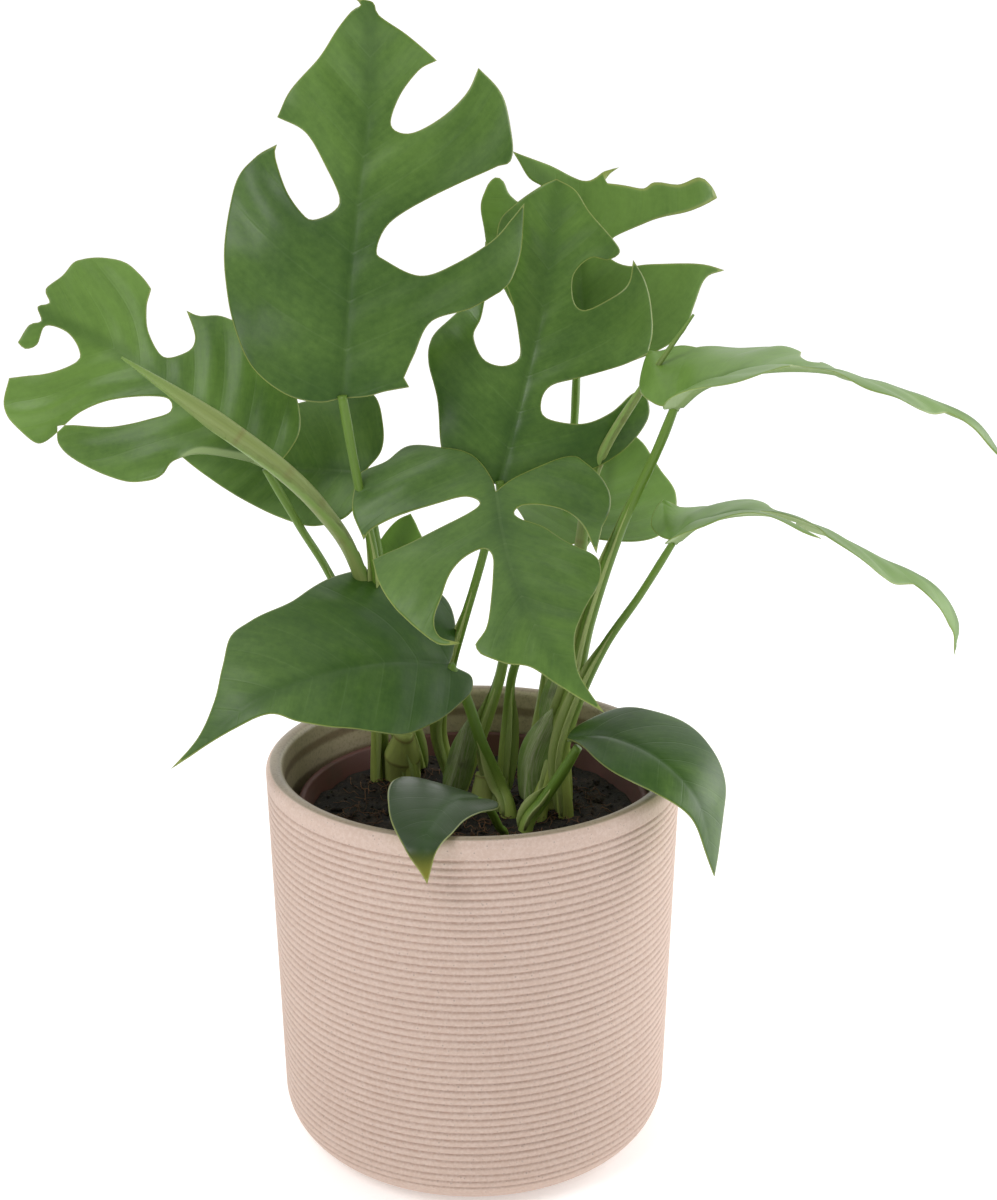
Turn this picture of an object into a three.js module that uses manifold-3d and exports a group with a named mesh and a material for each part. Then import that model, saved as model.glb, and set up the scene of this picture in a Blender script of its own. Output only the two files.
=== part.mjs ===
// Potted monstera: a ribbed stoneware pot, the plastic nursery pot and soil inside it, and a young
// plant of thirteen leaves and two rolled new leaves on three shoots. Millimetres, +Z up; the
// origin is the centre of the pot's flat foot, and the side with the most leaves faces -Y.
import * as THREE from 'three';
import { TessellateModifier } from 'three/addons/modifiers/TessellateModifier.js';
import { mergeVertices } from 'three/addons/utils/BufferGeometryUtils.js';
import Module from 'manifold-3d';

const wasm = await Module();
wasm.setup();

// ---- Driving dimensions -------------------------------------------------------------------
const CLEARANCE = 0.3; // gap between pieces that touch

const POT_HEIGHT = 139;
const POT_RIM_RADIUS = 72;
const POT_FOOT_RADIUS = 69; // outer radius just above the rounded foot
const POT_WALL = 6;
const POT_FLOOR = 9;
const POT_FOOT_ROUND = 16; // radius of the rounding between wall and foot

const NURSERY_SIDE_GAP = 4.5; // finger gap between the nursery pot's lip and the pot's wall
const NURSERY_HEIGHT = 114;
const NURSERY_WALL = 1;
const NURSERY_FOOT_GAP = 15; // gap between the nursery pot and the pot's wall at the bottom
const NURSERY_LIP_HEIGHT = 7;
const NURSERY_LIP_WIDTH = 1.5;
const DRAIN_HOLES = 8;
const DRAIN_RADIUS = 4.5;
const DRAIN_CIRCLE_RADIUS = 30;

const SOIL_BELOW_LIP = 7; // the soil surface lies this far under the nursery pot's lip
const ROOT_DEPTH = 20; // how far the stems reach into the soil

const POT_SIDES = 60; // flat faces round each pot
const BLADE_THICKNESS = 0.9;
const BLADE_MESH_STEP = 15; // longest triangle edge on a blade
const STALK_SIDES = 8;
const STALK_STEP = 13; // distance between the rings of a stalk

// ---- What follows from them ---------------------------------------------------------------
const NURSERY_RADIUS = POT_RIM_RADIUS - POT_WALL - NURSERY_SIDE_GAP - NURSERY_LIP_WIDTH;
const NURSERY_FOOT_RADIUS = POT_FOOT_RADIUS - POT_WALL - NURSERY_FOOT_GAP;
const NURSERY_BASE = POT_FLOOR + CLEARANCE;
const NURSERY_TOP = NURSERY_BASE + NURSERY_HEIGHT;
const SOIL_TOP = NURSERY_TOP - SOIL_BELOW_LIP;
const SOIL_BASE = NURSERY_BASE + NURSERY_WALL + CLEARANCE;
const RIM_ABOVE_SOIL = POT_HEIGHT - SOIL_TOP;

// ---- Colours ------------------------------------------------------------------------------
const stoneware = { color: 0xcdb2a4, roughness: 0.55, metalness: 0 };
const nurseryPlastic = { color: 0x5a2f28, roughness: 0.6, metalness: 0 };
const pottingSoil = { color: 0x1e1a17, roughness: 0.95, metalness: 0 };
const leafGreen = { color: 0x3f6a2c, roughness: 0.45, metalness: 0 };
const stalkGreen = { color: 0x5d8a35, roughness: 0.5, metalness: 0 };
const newLeaf = { color: 0x93a75a, roughness: 0.5, metalness: 0 };
const driedSheath = { color: 0x9c9a86, roughness: 0.8, metalness: 0 };

// ---- Solids -------------------------------------------------------------------------------
function solidOf(geometry) {
  const bare = geometry.index ? geometry.toNonIndexed() : geometry.clone();
  bare.deleteAttribute('normal');
  bare.deleteAttribute('uv');
  const merged = mergeVertices(bare, 1e-4);
  const mesh = new wasm.Mesh({
    numProp: 3,
    vertProperties: merged.attributes.position.array,
    triVerts: new Uint32Array(merged.index.array),
  });
  return new wasm.Manifold(mesh);
}

function geometryOf(solid) {
  const { vertProperties, triVerts } = solid.getMesh();
  const geometry = new THREE.BufferGeometry();
  geometry.setAttribute('position', new THREE.BufferAttribute(vertProperties, 3));
  geometry.setIndex(new THREE.BufferAttribute(triVerts, 1));
  return geometry;
}

// What is left of a piece beside its neighbours: the largest body, if a cut leaves crumbs.
function cutClear(solid, neighbours) {
  const rest = neighbours.reduce((piece, neighbour) => piece.subtract(neighbour), solid);
  const bodies = rest.decompose();
  return bodies.reduce((a, b) => (b.volume() > a.volume() ? b : a));
}

function turned(profile, sides) {
  const points = profile.map(([r, z]) => new THREE.Vector2(r, z));
  return new THREE.LatheGeometry(points, sides).rotateX(Math.PI / 2);
}

function arc(cx, cz, radius, from, to, steps) {
  return Array.from({ length: steps + 1 }, (_, i) => {
    const angle = THREE.MathUtils.degToRad(from + ((to - from) * i) / steps);
    return [cx + radius * Math.cos(angle), cz + radius * Math.sin(angle)];
  });
}

// A round stalk along a smooth line; its radius runs through the listed radii from foot to tip.
function stalk(points, radii, extra = 0) {
  const path = new THREE.CatmullRomCurve3(points, false, 'catmullrom', 0.5);
  const steps = Math.max(2, Math.round(path.getLength() / STALK_STEP));
  const section = Array.from({ length: STALK_SIDES }, (_, i) => {
    const angle = (2 * Math.PI * i) / STALK_SIDES;
    return new THREE.Vector2(Math.cos(angle), Math.sin(angle));
  });
  const geometry = new THREE.ExtrudeGeometry(new THREE.Shape(section), {
    steps,
    extrudePath: path,
    bevelEnabled: false,
  });
  const centres = path.getSpacedPoints(steps);
  const position = geometry.attributes.position;
  const vertex = new THREE.Vector3();
  for (let i = 0; i < position.count; i++) {
    vertex.fromBufferAttribute(position, i);
    const gaps = centres.map((centre) => centre.distanceTo(vertex));
    const ring = gaps.indexOf(Math.min(...gaps));
    const along = (ring / steps) * (radii.length - 1);
    const low = Math.min(Math.floor(along), radii.length - 2);
    const radius = radii[low] + (radii[low + 1] - radii[low]) * (along - low) + extra;
    vertex.sub(centres[ring]).multiplyScalar(radius).add(centres[ring]);
    position.setXYZ(i, vertex.x, vertex.y, vertex.z);
  }
  return geometry;
}

// ---- Leaf blades --------------------------------------------------------------------------
// rib: points of the midrib from stalk to tip. up: the way the upper side faces at base and tip.
// rise: degrees that the left and right halves stand above flat, [left base, left tip, right base,
// right tip]. ease: how early that changes on each half, 1 for evenly. curl: degrees that each
// half bends back down over 10 mm. outline: [along the midrib,
// out from it], left halves negative; a third value 1 marks a point that stays sharp when the
// outline is smoothed for show.
class Midrib {
  constructor(leaf) {
    this.leaf = leaf;
    this.curve = new THREE.CatmullRomCurve3(leaf.rib, false, 'catmullrom', 0.5);
    this.curve.arcLengthDivisions = 200;
    this.length = this.curve.getLength();
  }

  // The point of the blade that lies `along` and `out`, and `above` over its middle surface.
  surface(along, out, above) {
    const { up, rise, ease = [1, 1], curl, ripple } = this.leaf;
    const share = THREE.MathUtils.clamp(along / this.length, 0, 1);
    const forward = this.curve.getTangentAt(share);
    const point = this.curve.getPointAt(share);
    point.addScaledVector(forward, along - share * this.length);
    const face = up[0].clone().normalize().lerp(up[1].clone().normalize(), share);
    const normal = face.addScaledVector(forward, -face.dot(forward)).normalize();
    const side = new THREE.Vector3().crossVectors(forward, normal);
    const first = out < 0 ? 0 : 2;
    const sign = Math.sign(out) || 1;
    const turned = share ** ease[first / 2];
    const tilt = THREE.MathUtils.degToRad(rise[first] + (rise[first + 1] - rise[first]) * turned);
    const bend = THREE.MathUtils.degToRad(curl[first / 2]) / 10;
    const reach = Math.abs(out);
    const heading = tilt - bend * reach;
    const across = (Math.sin(tilt) - Math.sin(heading)) / bend;
    const wave = Math.sin(2 * Math.PI * (along / ripple[1] + ripple[2]));
    const lift = (Math.cos(heading) - Math.cos(tilt)) / bend
      + ripple[0] * wave * Math.min(1, reach / 30) ** 2;
    point.addScaledVector(side, sign * (across - above * Math.sin(heading)));
    return point.addScaledVector(normal, lift + above * Math.cos(heading));
  }
}

function blade(leaf, extra = 0) {
  // The flat blade is drawn mirrored, since along, out and above are a left-handed set.
  const corners = leaf.outline.map(([s, a]) => new THREE.Vector2(s, -a));
  const flat = new THREE.ExtrudeGeometry(new THREE.Shape(corners), {
    depth: BLADE_THICKNESS + 2 * extra,
    bevelEnabled: false,
  }).translate(0, 0, -BLADE_THICKNESS / 2 - extra);
  const fine = new TessellateModifier(BLADE_MESH_STEP, 6).modify(flat);
  const midrib = new Midrib(leaf);
  const position = fine.attributes.position;
  for (let i = 0; i < position.count; i++) {
    const point = midrib.surface(position.getX(i), -position.getY(i), position.getZ(i));
    position.setXYZ(i, point.x, point.y, point.z);
  }
  return fine;
}

// ---- Where things grow --------------------------------------------------------------------
// A place above the soil, in millimetres from the centre of its surface.
const spot = (x, y, z) => new THREE.Vector3(x, y, SOIL_TOP + z);

// A place above the soil whose height is a share of the rim's height over the soil, for the leaves
// that hang over the rim.
const upToRim = (x, y, share) => spot(x, y, share * RIM_ABOVE_SOIL);

// A place outside the pot's rim, by compass angle: that far beyond the rim and over its top.
function pastRim(degrees, beyond, over) {
  const angle = THREE.MathUtils.degToRad(degrees);
  const reach = POT_RIM_RADIUS + beyond;
  return spot(reach * Math.cos(angle), reach * Math.sin(angle), RIM_ABOVE_SOIL + over);
}

const facing = (x, y, z) => new THREE.Vector3(x, y, z);

const SHOOTS = {
  left: { foot: new THREE.Vector2(-27, 33), lean: [-2, 0], height: 16, radii: [5, 5.5, 3] },
  centre: { foot: new THREE.Vector2(3, 6), lean: [1, 2], height: 12, radii: [5, 5, 3] },
  right: { foot: new THREE.Vector2(25.2, 8.4), lean: [3, 3], height: 20, radii: [5, 5.5, 3] },
};

// A stalk leaves the soil beside its shoot, `foot` from the shoot's centre, and runs through `via`.
const STALKS = {
  petiole_top: {
    shoot: 'left', foot: [5, -8], radii: [3.2, 2.2, 1.7, 1.6],
    via: [[-32, 24, 53], [-34, 14, 89], [-39, 9, 119], [-43, 5, 148]],
  },
  petiole_left: {
    shoot: 'left', foot: [-9, -3], radii: [3, 1.8, 1.5, 1.4],
    via: [[-37, 28, 40], [-49, 22, 78], [-60, 16, 101], [-70, 11, 122]],
  },
  petiole_left_entire: {
    shoot: 'left', foot: [-1, 10], radii: [2.6, 1.6, 1.5],
    via: [[-30, 34, 53], [-35, 31, 96], [-40, 28, 117]],
  },
  petiole_pale: {
    shoot: 'left', foot: [7, 7], radii: [2.2, 1.4, 1.2],
    via: [[-28, 41, 32], [-31, 37, 68]],
  },
  petiole_front: {
    shoot: 'centre', foot: [-11, 22], radii: [3, 1.8, 1.6, 1.5],
    via: [[-12, 30, 20], [-8, 20, 47], [-4, 14, 64], [4, 9, 94], [8, 4, 115]],
  },
  petiole_low_left: {
    shoot: 'centre', foot: [9, -6], radii: [4.6, 3, 2.2, 1.8],
    via: [[9, 4, 9], [3, 2, 25], [-2, 2, 41], [-8, 1, 55]],
  },
  petiole_centre: {
    shoot: 'centre', foot: [-9, 5], radii: [4, 2.4, 1.8, 1.6],
    via: [[-3, 17, 8], [5, 18, 30], [11, 20, 54], [12, 20, 87], [9, 18, 116]],
  },
  petiole_rim_front: {
    shoot: 'centre', foot: [8, -26], radii: [1.8, 1.5, 1.3],
    via: [upToRim(9, -25, 0.26), upToRim(6, -29, 0.62), upToRim(2, -32, 0.84)],
  },
  petiole_back: {
    shoot: 'right', foot: [-6, 12], radii: [3.4, 2, 1.6, 1.5],
    via: [[26, 34, 38], [33, 46, 88], [36, 54, 126], [37, 59, 147]],
  },
  petiole_behind_right: {
    shoot: 'right', foot: [-15, 10], radii: [3, 1.8, 1.5],
    via: [[12, 28, 24], [15, 28, 46], [27, 31, 70], [41, 33, 92]],
  },
  petiole_right_high: {
    shoot: 'right', foot: [-3, -10.5], radii: [4.4, 3, 2.2, 1.5],
    via: [[28, 10, 22], [35, 8, 44], [40, 8, 69], [50, 6, 102], [61, 2, 129], [67, 0, 146]],
  },
  petiole_right_low: {
    shoot: 'right', foot: [7, -8], radii: [4, 2.4, 1.6, 1.2],
    via: [[31, 0, 22], [37, 2, 43], [46, 4, 62], [57, 2, 80], [68, 2, 99]],
  },
  petiole_rim_right: {
    shoot: 'right', foot: [-7, -21], radii: [3.6, 2.4, 1.6],
    via: [upToRim(24, -10, 0.4), upToRim(30, -11, 0.84), upToRim(36, -12, 1.33)],
  },
  spear_left: {
    shoot: 'left', foot: [-8, 5], radii: [3, 3, 3, 2.6, 3.1, 3.2, 0.4],
    via: [[-35, 27, 56], [-41, 15, 89], [-50, 7, 108], [-64, 1, 125], [-90, 0, 145], [-115, 4, 161]],
  },
  spear_right: {
    shoot: 'right', foot: [8, 5], radii: [2.6, 2.2, 2.2, 2.2, 1.6, 0.4],
    via: [[32, 23, 42], [37, 25, 86], [43, 25, 119], [57, 22, 146], [74, 18, 173]],
  },
};

const LEAVES = {
  blade_top: {
    rib: [spot(-43, 6, 147), spot(-41, 16, 178), spot(-38, 26, 210), spot(-34, 34, 242),
      spot(-33, 32, 271)],
    up: [facing(0.05, -1, 0.15), facing(0, -1, 0.35)],
    rise: [6, 0, 6, 0], curl: [4, 5], ripple: [1.5, 46, 0.2],
    outline: [[0, 0, 1], [-2, -8], [0, -19], [8, -30], [21, -37], [34, -41], [49, -43], [67, -42],
      [76, -36], [81, -29, 1], [77, -29], [67, -24], [60, -18], [58, -14], [61, -8], [66, -6],
      [76, -12], [86, -20], [90, -30, 1], [101, -26], [112, -17], [121, -11], [127, -6],
      [129, -3], [131, -5, 1], [130, 1], [126, 3], [120, 12], [112, 22, 1], [109, 16], [101, 10],
      [92, 8], [90, 14], [95, 23], [103, 32], [110, 36, 1], [103, 45], [93, 50], [87, 50],
      [85, 46, 1], [77, 33], [68, 21], [59, 11], [50, 8], [47, 11], [43, 23], [48, 34], [60, 48],
      [75, 57, 1], [58, 58], [46, 55], [41, 51, 1], [34, 41], [28, 28], [16, 23], [8, 20, 1],
      [5, 22, 1], [3, 14], [1, 8]],
  },
  blade_left: {
    rib: [spot(-69, 12, 124), spot(-85, 16, 136), spot(-104, 22, 149), spot(-124, 28, 161),
      spot(-142, 26, 170)],
    up: [facing(-0.1, -0.75, 0.6), facing(-0.1, -0.8, 0.5)],
    rise: [4, 0, 4, 0], curl: [5, 5], ripple: [1.5, 44, 0.6],
    outline: [[-2, -2, 1], [9, -7], [19, -13], [25, -20], [25, -26], [28, -31], [36, -36],
      [54, -39], [64, -38], [71, -33, 1], [64, -30], [51, -23], [41, -13], [37, -7], [40, -4],
      [46, -7], [57, -16], [64, -25], [69, -35], [77, -41], [85, -39], [92, -33], [94, -24, 1],
      [83, -17], [76, -10], [77, -6], [83, -2], [90, -3], [90, -10], [93, -13], [96, -12, 1],
      [95, -5], [92, -2], [95, 2], [92, 5], [95, 9], [92, 16], [90, 23], [85, 27], [76, 30],
      [71, 28], [67, 25, 1], [65, 18], [60, 11], [51, 7], [46, 13], [47, 19], [56, 26, 1],
      [51, 27], [44, 32], [29, 33], [12, 27], [0, 17], [-3, 7]],
  },
  blade_left_entire: {
    rib: [spot(-38, 26, 117), spot(-57, 32, 117), spot(-77, 38, 117), spot(-102, 42, 119)],
    up: [facing(0, -0.8, 0.5), facing(0, -0.8, 0.5)],
    rise: [6, 0, 6, 0], curl: [4, 4], ripple: [1, 40, 0.1],
    outline: [[0, 0, 1], [-1, -8], [3, -17], [15, -21], [30, -18], [46, -12], [60, -5],
      [70, 1, 1], [61, 7], [46, 17], [30, 25], [15, 28], [2, 29], [-4, 18], [-5, 8]],
  },
  blade_centre: {
    rib: [spot(9, 18, 115), spot(14, 24, 133), spot(19, 32, 152), spot(25, 42, 178),
      spot(29, 46, 210)],
    up: [facing(0, -1, 0.2), facing(0, -1, 0.3)],
    rise: [8, 0, 8, 0], curl: [5, 5], ripple: [1.5, 42, 0.3],
    outline: [[0, 0, 1], [-3, -10], [0, -18], [8, -23], [23, -28], [35, -34], [44, -35],
      [52, -31], [59, -26], [63, -20, 1], [55, -20], [48, -21], [41, -16], [40, -9], [44, -4],
      [52, -6], [64, -11], [77, -18], [90, -19], [97, -14], [104, -6], [107, -1, 1], [104, 6],
      [97, 12], [89, 21], [85, 24], [82, 20], [82, 14], [76, 9], [68, 10], [65, 14], [69, 21],
      [75, 28], [83, 29, 1], [77, 34], [69, 38], [63, 40], [57, 40, 1], [50, 31], [42, 18],
      [37, 9], [31, 7], [26, 10], [27, 22], [33, 31], [41, 37], [44, 41, 1], [35, 45], [21, 38],
      [10, 26], [2, 14], [-1, 5]],
  },
  blade_front: {
    rib: [spot(8, 4, 116), spot(10, -10, 106), spot(14, -28, 95), spot(23, -46, 80),
      spot(41, -58, 61)],
    up: [facing(0, -0.45, 1), facing(0.1, -0.75, 0.6)],
    rise: [2, 0, 2, 0], curl: [4, 4], ripple: [1.5, 40, 0.5],
    outline: [[0, 0, 1], [-6, 1], [-16, 6], [-22, 17], [-25, 28], [-19, 36], [-16, 45], [-9, 48],
      [0, 49], [11, 46, 1], [8, 43], [5, 33], [3, 19], [2, 10], [5, 6], [9, 11], [15, 27],
      [20, 44, 1], [31, 43], [40, 39], [51, 32], [54, 28], [55, 24, 1], [51, 29], [46, 29],
      [40, 25], [32, 19], [27, 13], [25, 7], [30, 5], [43, 9], [53, 14], [57, 20, 1], [60, 20],
      [65, 15], [69, 9], [77, 6], [86, 3], [94, 0, 1], [85, -1], [78, -3], [69, -9], [62, -15],
      [49, -25], [41, -29], [34, -28], [26, -21], [17, -14], [13, -7], [10, -5], [7, -8],
      [7, -16], [10, -24], [18, -28], [33, -29, 1], [20, -33], [5, -39], [-3, -38], [-11, -32],
      [-14, -28], [-10, -18], [-5, -7]],
  },
  blade_low_left: {
    rib: [spot(-8, 2, 55), spot(-28, -12, 61), spot(-50, -26, 61), spot(-72, -38, 55),
      spot(-95, -44, 36)],
    up: [facing(-0.1, -0.7, 0.7), facing(-0.2, -0.7, 0.6)],
    rise: [8, 4, 8, 4], curl: [6, 6], ripple: [1, 50, 0.2],
    outline: [[0, 0, 1], [-3, -2], [-7, -5], [-5, -11], [1, -16], [14, -24], [33, -28],
      [54, -21], [66, -14], [73, -7], [85, -4], [98, -1], [110, 1, 1], [96, 3], [85, 9],
      [77, 18], [70, 27], [62, 29], [48, 31], [30, 40], [18, 41], [4, 39], [-7, 28], [-7, 16],
      [-3, 5]],
  },
  blade_rim_right: {
    rib: [upToRim(32, -6, 1.36), upToRim(46, -20, 1.63), pastRim(-30, 0, 12), pastRim(-32, 15, 1),
      pastRim(-32, 21, -21)],
    up: [facing(-0.1, -0.5, 1), facing(0.8, -0.5, 0.6)],
    rise: [4, 0, 10, 0], curl: [8, 10], ripple: [0, 40, 0.2],
    outline: [[0, 0, 1], [1, -5], [6, -10], [14, -17], [23, -21], [34, -25], [47, -24],
      [60, -20], [72, -13], [82, -6], [88, 0, 1], [78, 3], [66, 6], [53, 13], [40, 16],
      [26, 13], [10, 5]],
  },
  blade_rim_front: {
    rib: [upToRim(3, -30, 0.84), upToRim(-5, -48, 1.15), pastRim(-100, -5, 4),
      pastRim(-100, 8, 1), pastRim(-99, 12, -8)],
    up: [facing(0, -0.3, 1), facing(0, -0.9, 0.5)],
    rise: [6, 0, 6, 0], curl: [8, 8], ripple: [0, 40, 0.2],
    outline: [[-1, 0, 1], [0, -6], [8, -10], [19, -10], [32, -8], [45, -7], [57, -3],
      [65, 0, 1], [59, 3], [50, 9], [42, 14], [30, 20], [19, 22], [9, 18], [1, 10]],
  },
  blade_right_high: {
    rib: [spot(67, 0, 145), spot(76, -2, 153), spot(91, -4, 158), spot(110, -6, 159),
      spot(127, -8, 156), spot(148, -10, 150), spot(163, -12, 143), spot(173, -14, 130)],
    up: [facing(-0.45, 0.05, 1), facing(0.45, 0.1, 1)],
    rise: [38, -12, 15, -40], ease: [0.5, 2.5], curl: [4, 4], ripple: [1.5, 36, 0.1],
    outline: [[0, 0, 1], [-6, -8], [-9, -20], [-4, -31], [6, -34], [12, -29, 1], [20, -35],
      [33, -38], [46, -34, 1], [45, -18], [47, -11], [51, -15], [52, -28], [54, -36, 1],
      [68, -31], [79, -20, 1], [76, -11], [80, -7], [84, -12], [88, -18], [100, -12],
      [112, -4], [120, 0, 1], [112, 4], [104, 6], [92, 8, 1], [88, 14], [80, 23], [72, 27],
      [64, 26], [57, 19], [53, 11], [49, 7], [44, 8], [41, 16], [39, 31, 1], [26, 36], [12, 34],
      [3, 24], [0, 10]],
  },
  blade_right_low: {
    rib: [spot(68, 2, 99), spot(76, 0, 106), spot(88, -2, 110), spot(102, -4, 110),
      spot(118, -6, 105), spot(134, -8, 97), spot(153, -10, 88), spot(162, -12, 76),
      spot(162, -13, 64)],
    up: [facing(-0.5, 0.1, 1), facing(0.6, 0.1, 0.9)],
    rise: [26, -10, 15, -40], ease: [0.25, 2.2], curl: [4, 4], ripple: [1.5, 36, 0.4],
    outline: [[0, 0, 1], [-5, -8], [-7, -18], [-2, -27], [8, -30], [22, -31], [34, -31, 1],
      [36, -14], [40, -9], [45, -14], [48, -28, 1], [58, -31], [68, -26, 1], [66, -12],
      [70, -8], [74, -12], [78, -21], [90, -15], [102, -6], [122, 0, 1], [113, 6], [104, 11],
      [94, 13], [86, 12, 1], [83, 15], [77, 22], [70, 28], [61, 28], [52, 23, 1], [49, 12],
      [44, 6], [37, 5], [32, 8], [33, 16], [41, 24], [50, 28, 1], [40, 31], [26, 31], [14, 28],
      [4, 20], [0, 8]],
  },
  blade_back: {
    rib: [spot(37, 58, 147), spot(39, 66, 168), spot(37, 72, 189), spot(33, 74, 204),
      spot(14, 66, 223)],
    up: [facing(0, -1, 0.3), facing(0, -1, 0.4)],
    rise: [5, 0, 5, 0], curl: [5, 4], ripple: [1, 40, 0.1],
    outline: [[0, 0, 1], [1, -12], [13, -20], [33, -28], [54, -33], [68, -34], [84, -24],
      [88, -16], [88, -11], [85, -10], [80, -12], [73, -11], [70, -6], [71, -2], [78, -3],
      [85, -1], [89, 0, 1], [76, 5], [63, 10], [61, 19], [60, 24, 1], [60, 19], [59, 17],
      [56, 27], [56, 33], [55, 41], [55, 50], [54, 54], [53, 55, 1], [52, 43], [51, 27],
      [47, 14], [41, 11], [38, 13], [36, 18], [36, 26], [35, 44], [33, 54, 1], [31, 46],
      [24, 41], [17, 37], [11, 29], [7, 22], [1, 10]],
  },
  blade_behind_right: {
    rib: [spot(41, 32, 91), spot(45, 46, 97), spot(49, 66, 109), spot(50, 78, 123)],
    up: [facing(0, -0.7, 1), facing(0, -0.7, 1)],
    rise: [4, 0, 4, 0], curl: [4, 4], ripple: [1, 40, 0.1],
    outline: [[1, 0, 1], [-6, -9], [0, -22], [16, -31], [37, -32], [52, -22], [58, -7],
      [61, 1, 1], [52, 12], [42, 19], [34, 26], [23, 27], [12, 24], [5, 17], [2, 8]],
  },
  blade_pale: {
    rib: [spot(-31, 36, 68), spot(-28, 40, 82), spot(-23, 46, 97)],
    up: [facing(0.1, -1, 0.2), facing(0.1, -1, 0.2)],
    rise: [6, 0, 6, 0], curl: [4, 4], ripple: [0, 40, 0.1],
    outline: [[0, 0, 1], [4, -6], [12, -9], [21, -7], [28, -4], [32, 0, 1], [28, 4], [21, 9],
      [9, 8], [2, 4]],
  },
};

// Dried sheaths that once wrapped a shoot, as narrow blades curled round it.
const SHEATHS = {
  sheath_right_low: {
    rib: [spot(19, -1, 5), spot(20, 1, 20), spot(27, 1, 38)],
    up: [facing(0.3, 1, 0), facing(0.3, 1, 0)],
    rise: [30, 30, 30, 30], curl: [-40, -40], ripple: [0, 40, 0],
    outline: [[0, 0, 1], [1, -5], [9, -8], [20, -7], [30, -3], [36, 0, 1], [30, 3], [20, 7],
      [9, 8], [1, 5]],
  },
  sheath_right_high: {
    rib: [spot(27, 14, 26), spot(30, 15, 40), spot(34, 15, 54)],
    up: [facing(0.2, 1, 0), facing(0.2, 1, 0)],
    rise: [20, 20, 20, 20], curl: [-30, -30], ripple: [0, 40, 0],
    outline: [[0, 0, 1], [1, -4], [8, -7], [18, -5], [28, 0, 1], [18, 5], [8, 7], [1, 4]],
  },
  sheath_centre: {
    rib: [spot(-8, 9, 4), spot(-5, 9, 16), spot(-1, 9, 34)],
    up: [facing(0.2, 1, 0), facing(0.2, 1, 0)],
    rise: [25, 25, 25, 25], curl: [-35, -35], ripple: [0, 40, 0],
    outline: [[0, 0, 1], [1, -5], [8, -6], [18, -5], [30, 0, 1], [18, 5], [8, 6], [1, 5]],
  },
};

// ---- Pots and soil ------------------------------------------------------------------------
function stonewarePot() {
  const corner = POT_FOOT_RADIUS - POT_FOOT_ROUND;
  const innerFoot = POT_FOOT_RADIUS - POT_WALL;
  const lip = POT_WALL / 2;
  return turned([
    [0, 0],
    ...arc(corner, POT_FOOT_ROUND, POT_FOOT_ROUND, -90, 0, 5),
    ...arc(POT_RIM_RADIUS - lip, POT_HEIGHT - lip, lip, 0, 180, 4),
    ...arc(innerFoot - POT_WALL, POT_FLOOR + POT_WALL, POT_WALL, 0, -90, 2),
    [0, POT_FLOOR],
  ], POT_SIDES);
}

const nurseryRadiusAt = (z) => NURSERY_FOOT_RADIUS
  + ((NURSERY_RADIUS - NURSERY_FOOT_RADIUS) * (z - NURSERY_BASE)) / NURSERY_HEIGHT;

function nurseryPot() {
  const lipBase = NURSERY_TOP - NURSERY_LIP_HEIGHT;
  const floor = NURSERY_BASE + NURSERY_WALL;
  const shell = solidOf(turned([
    [0, NURSERY_BASE],
    [nurseryRadiusAt(NURSERY_BASE), NURSERY_BASE],
    [nurseryRadiusAt(lipBase), lipBase],
    [nurseryRadiusAt(lipBase) + NURSERY_LIP_WIDTH, lipBase],
    [NURSERY_RADIUS + NURSERY_LIP_WIDTH, NURSERY_TOP],
    [NURSERY_RADIUS - NURSERY_WALL, NURSERY_TOP],
    [nurseryRadiusAt(floor) - NURSERY_WALL, floor],
    [0, floor],
  ], POT_SIDES));
  const holes = Array.from({ length: DRAIN_HOLES }, (_, i) => {
    const angle = (2 * Math.PI * i) / DRAIN_HOLES;
    const hole = new THREE.CylinderGeometry(DRAIN_RADIUS, DRAIN_RADIUS, 6 * NURSERY_WALL, 12);
    hole.rotateX(Math.PI / 2);
    hole.translate(
      DRAIN_CIRCLE_RADIUS * Math.cos(angle), DRAIN_CIRCLE_RADIUS * Math.sin(angle), NURSERY_BASE,
    );
    return solidOf(hole);
  });
  return cutClear(shell, holes);
}

function soil(stems) {
  const gap = NURSERY_WALL + CLEARANCE;
  const plug = solidOf(turned([
    [0, SOIL_BASE],
    [nurseryRadiusAt(SOIL_BASE) - gap, SOIL_BASE],
    [nurseryRadiusAt(SOIL_TOP) - gap, SOIL_TOP],
    [0, SOIL_TOP],
  ], POT_SIDES));
  return cutClear(plug, stems);
}

// ---- Assembly -----------------------------------------------------------------------------
const plant = new THREE.Group();

function add(name, geometry, finish) {
  const mesh = new THREE.Mesh(geometry, new THREE.MeshStandardMaterial(finish));
  mesh.name = name;
  plant.add(mesh);
}

function shootPath({ foot, lean, height }) {
  return [
    spot(foot.x, foot.y, -ROOT_DEPTH),
    spot(foot.x, foot.y, 0),
    spot(foot.x + lean[0], foot.y + lean[1], height),
  ];
}

function stalkPath({ shoot, foot, via }) {
  const { foot: centre } = SHOOTS[shoot];
  const [x, y] = [centre.x + foot[0], centre.y + foot[1]];
  const above = via.map((point) => (point.isVector3 ? point : spot(...point)));
  return [spot(x, y, -ROOT_DEPTH), spot(x, y, 0), ...above];
}

const stems = []; // every stem so far, grown by the clearance, for its neighbours to be cut by

for (const [name, shoot] of Object.entries(SHOOTS)) {
  const path = shootPath(shoot);
  add(`shoot_${name}`, geometryOf(solidOf(stalk(path, shoot.radii))), stalkGreen);
  stems.push(solidOf(stalk(path, shoot.radii, CLEARANCE)));
}

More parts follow.
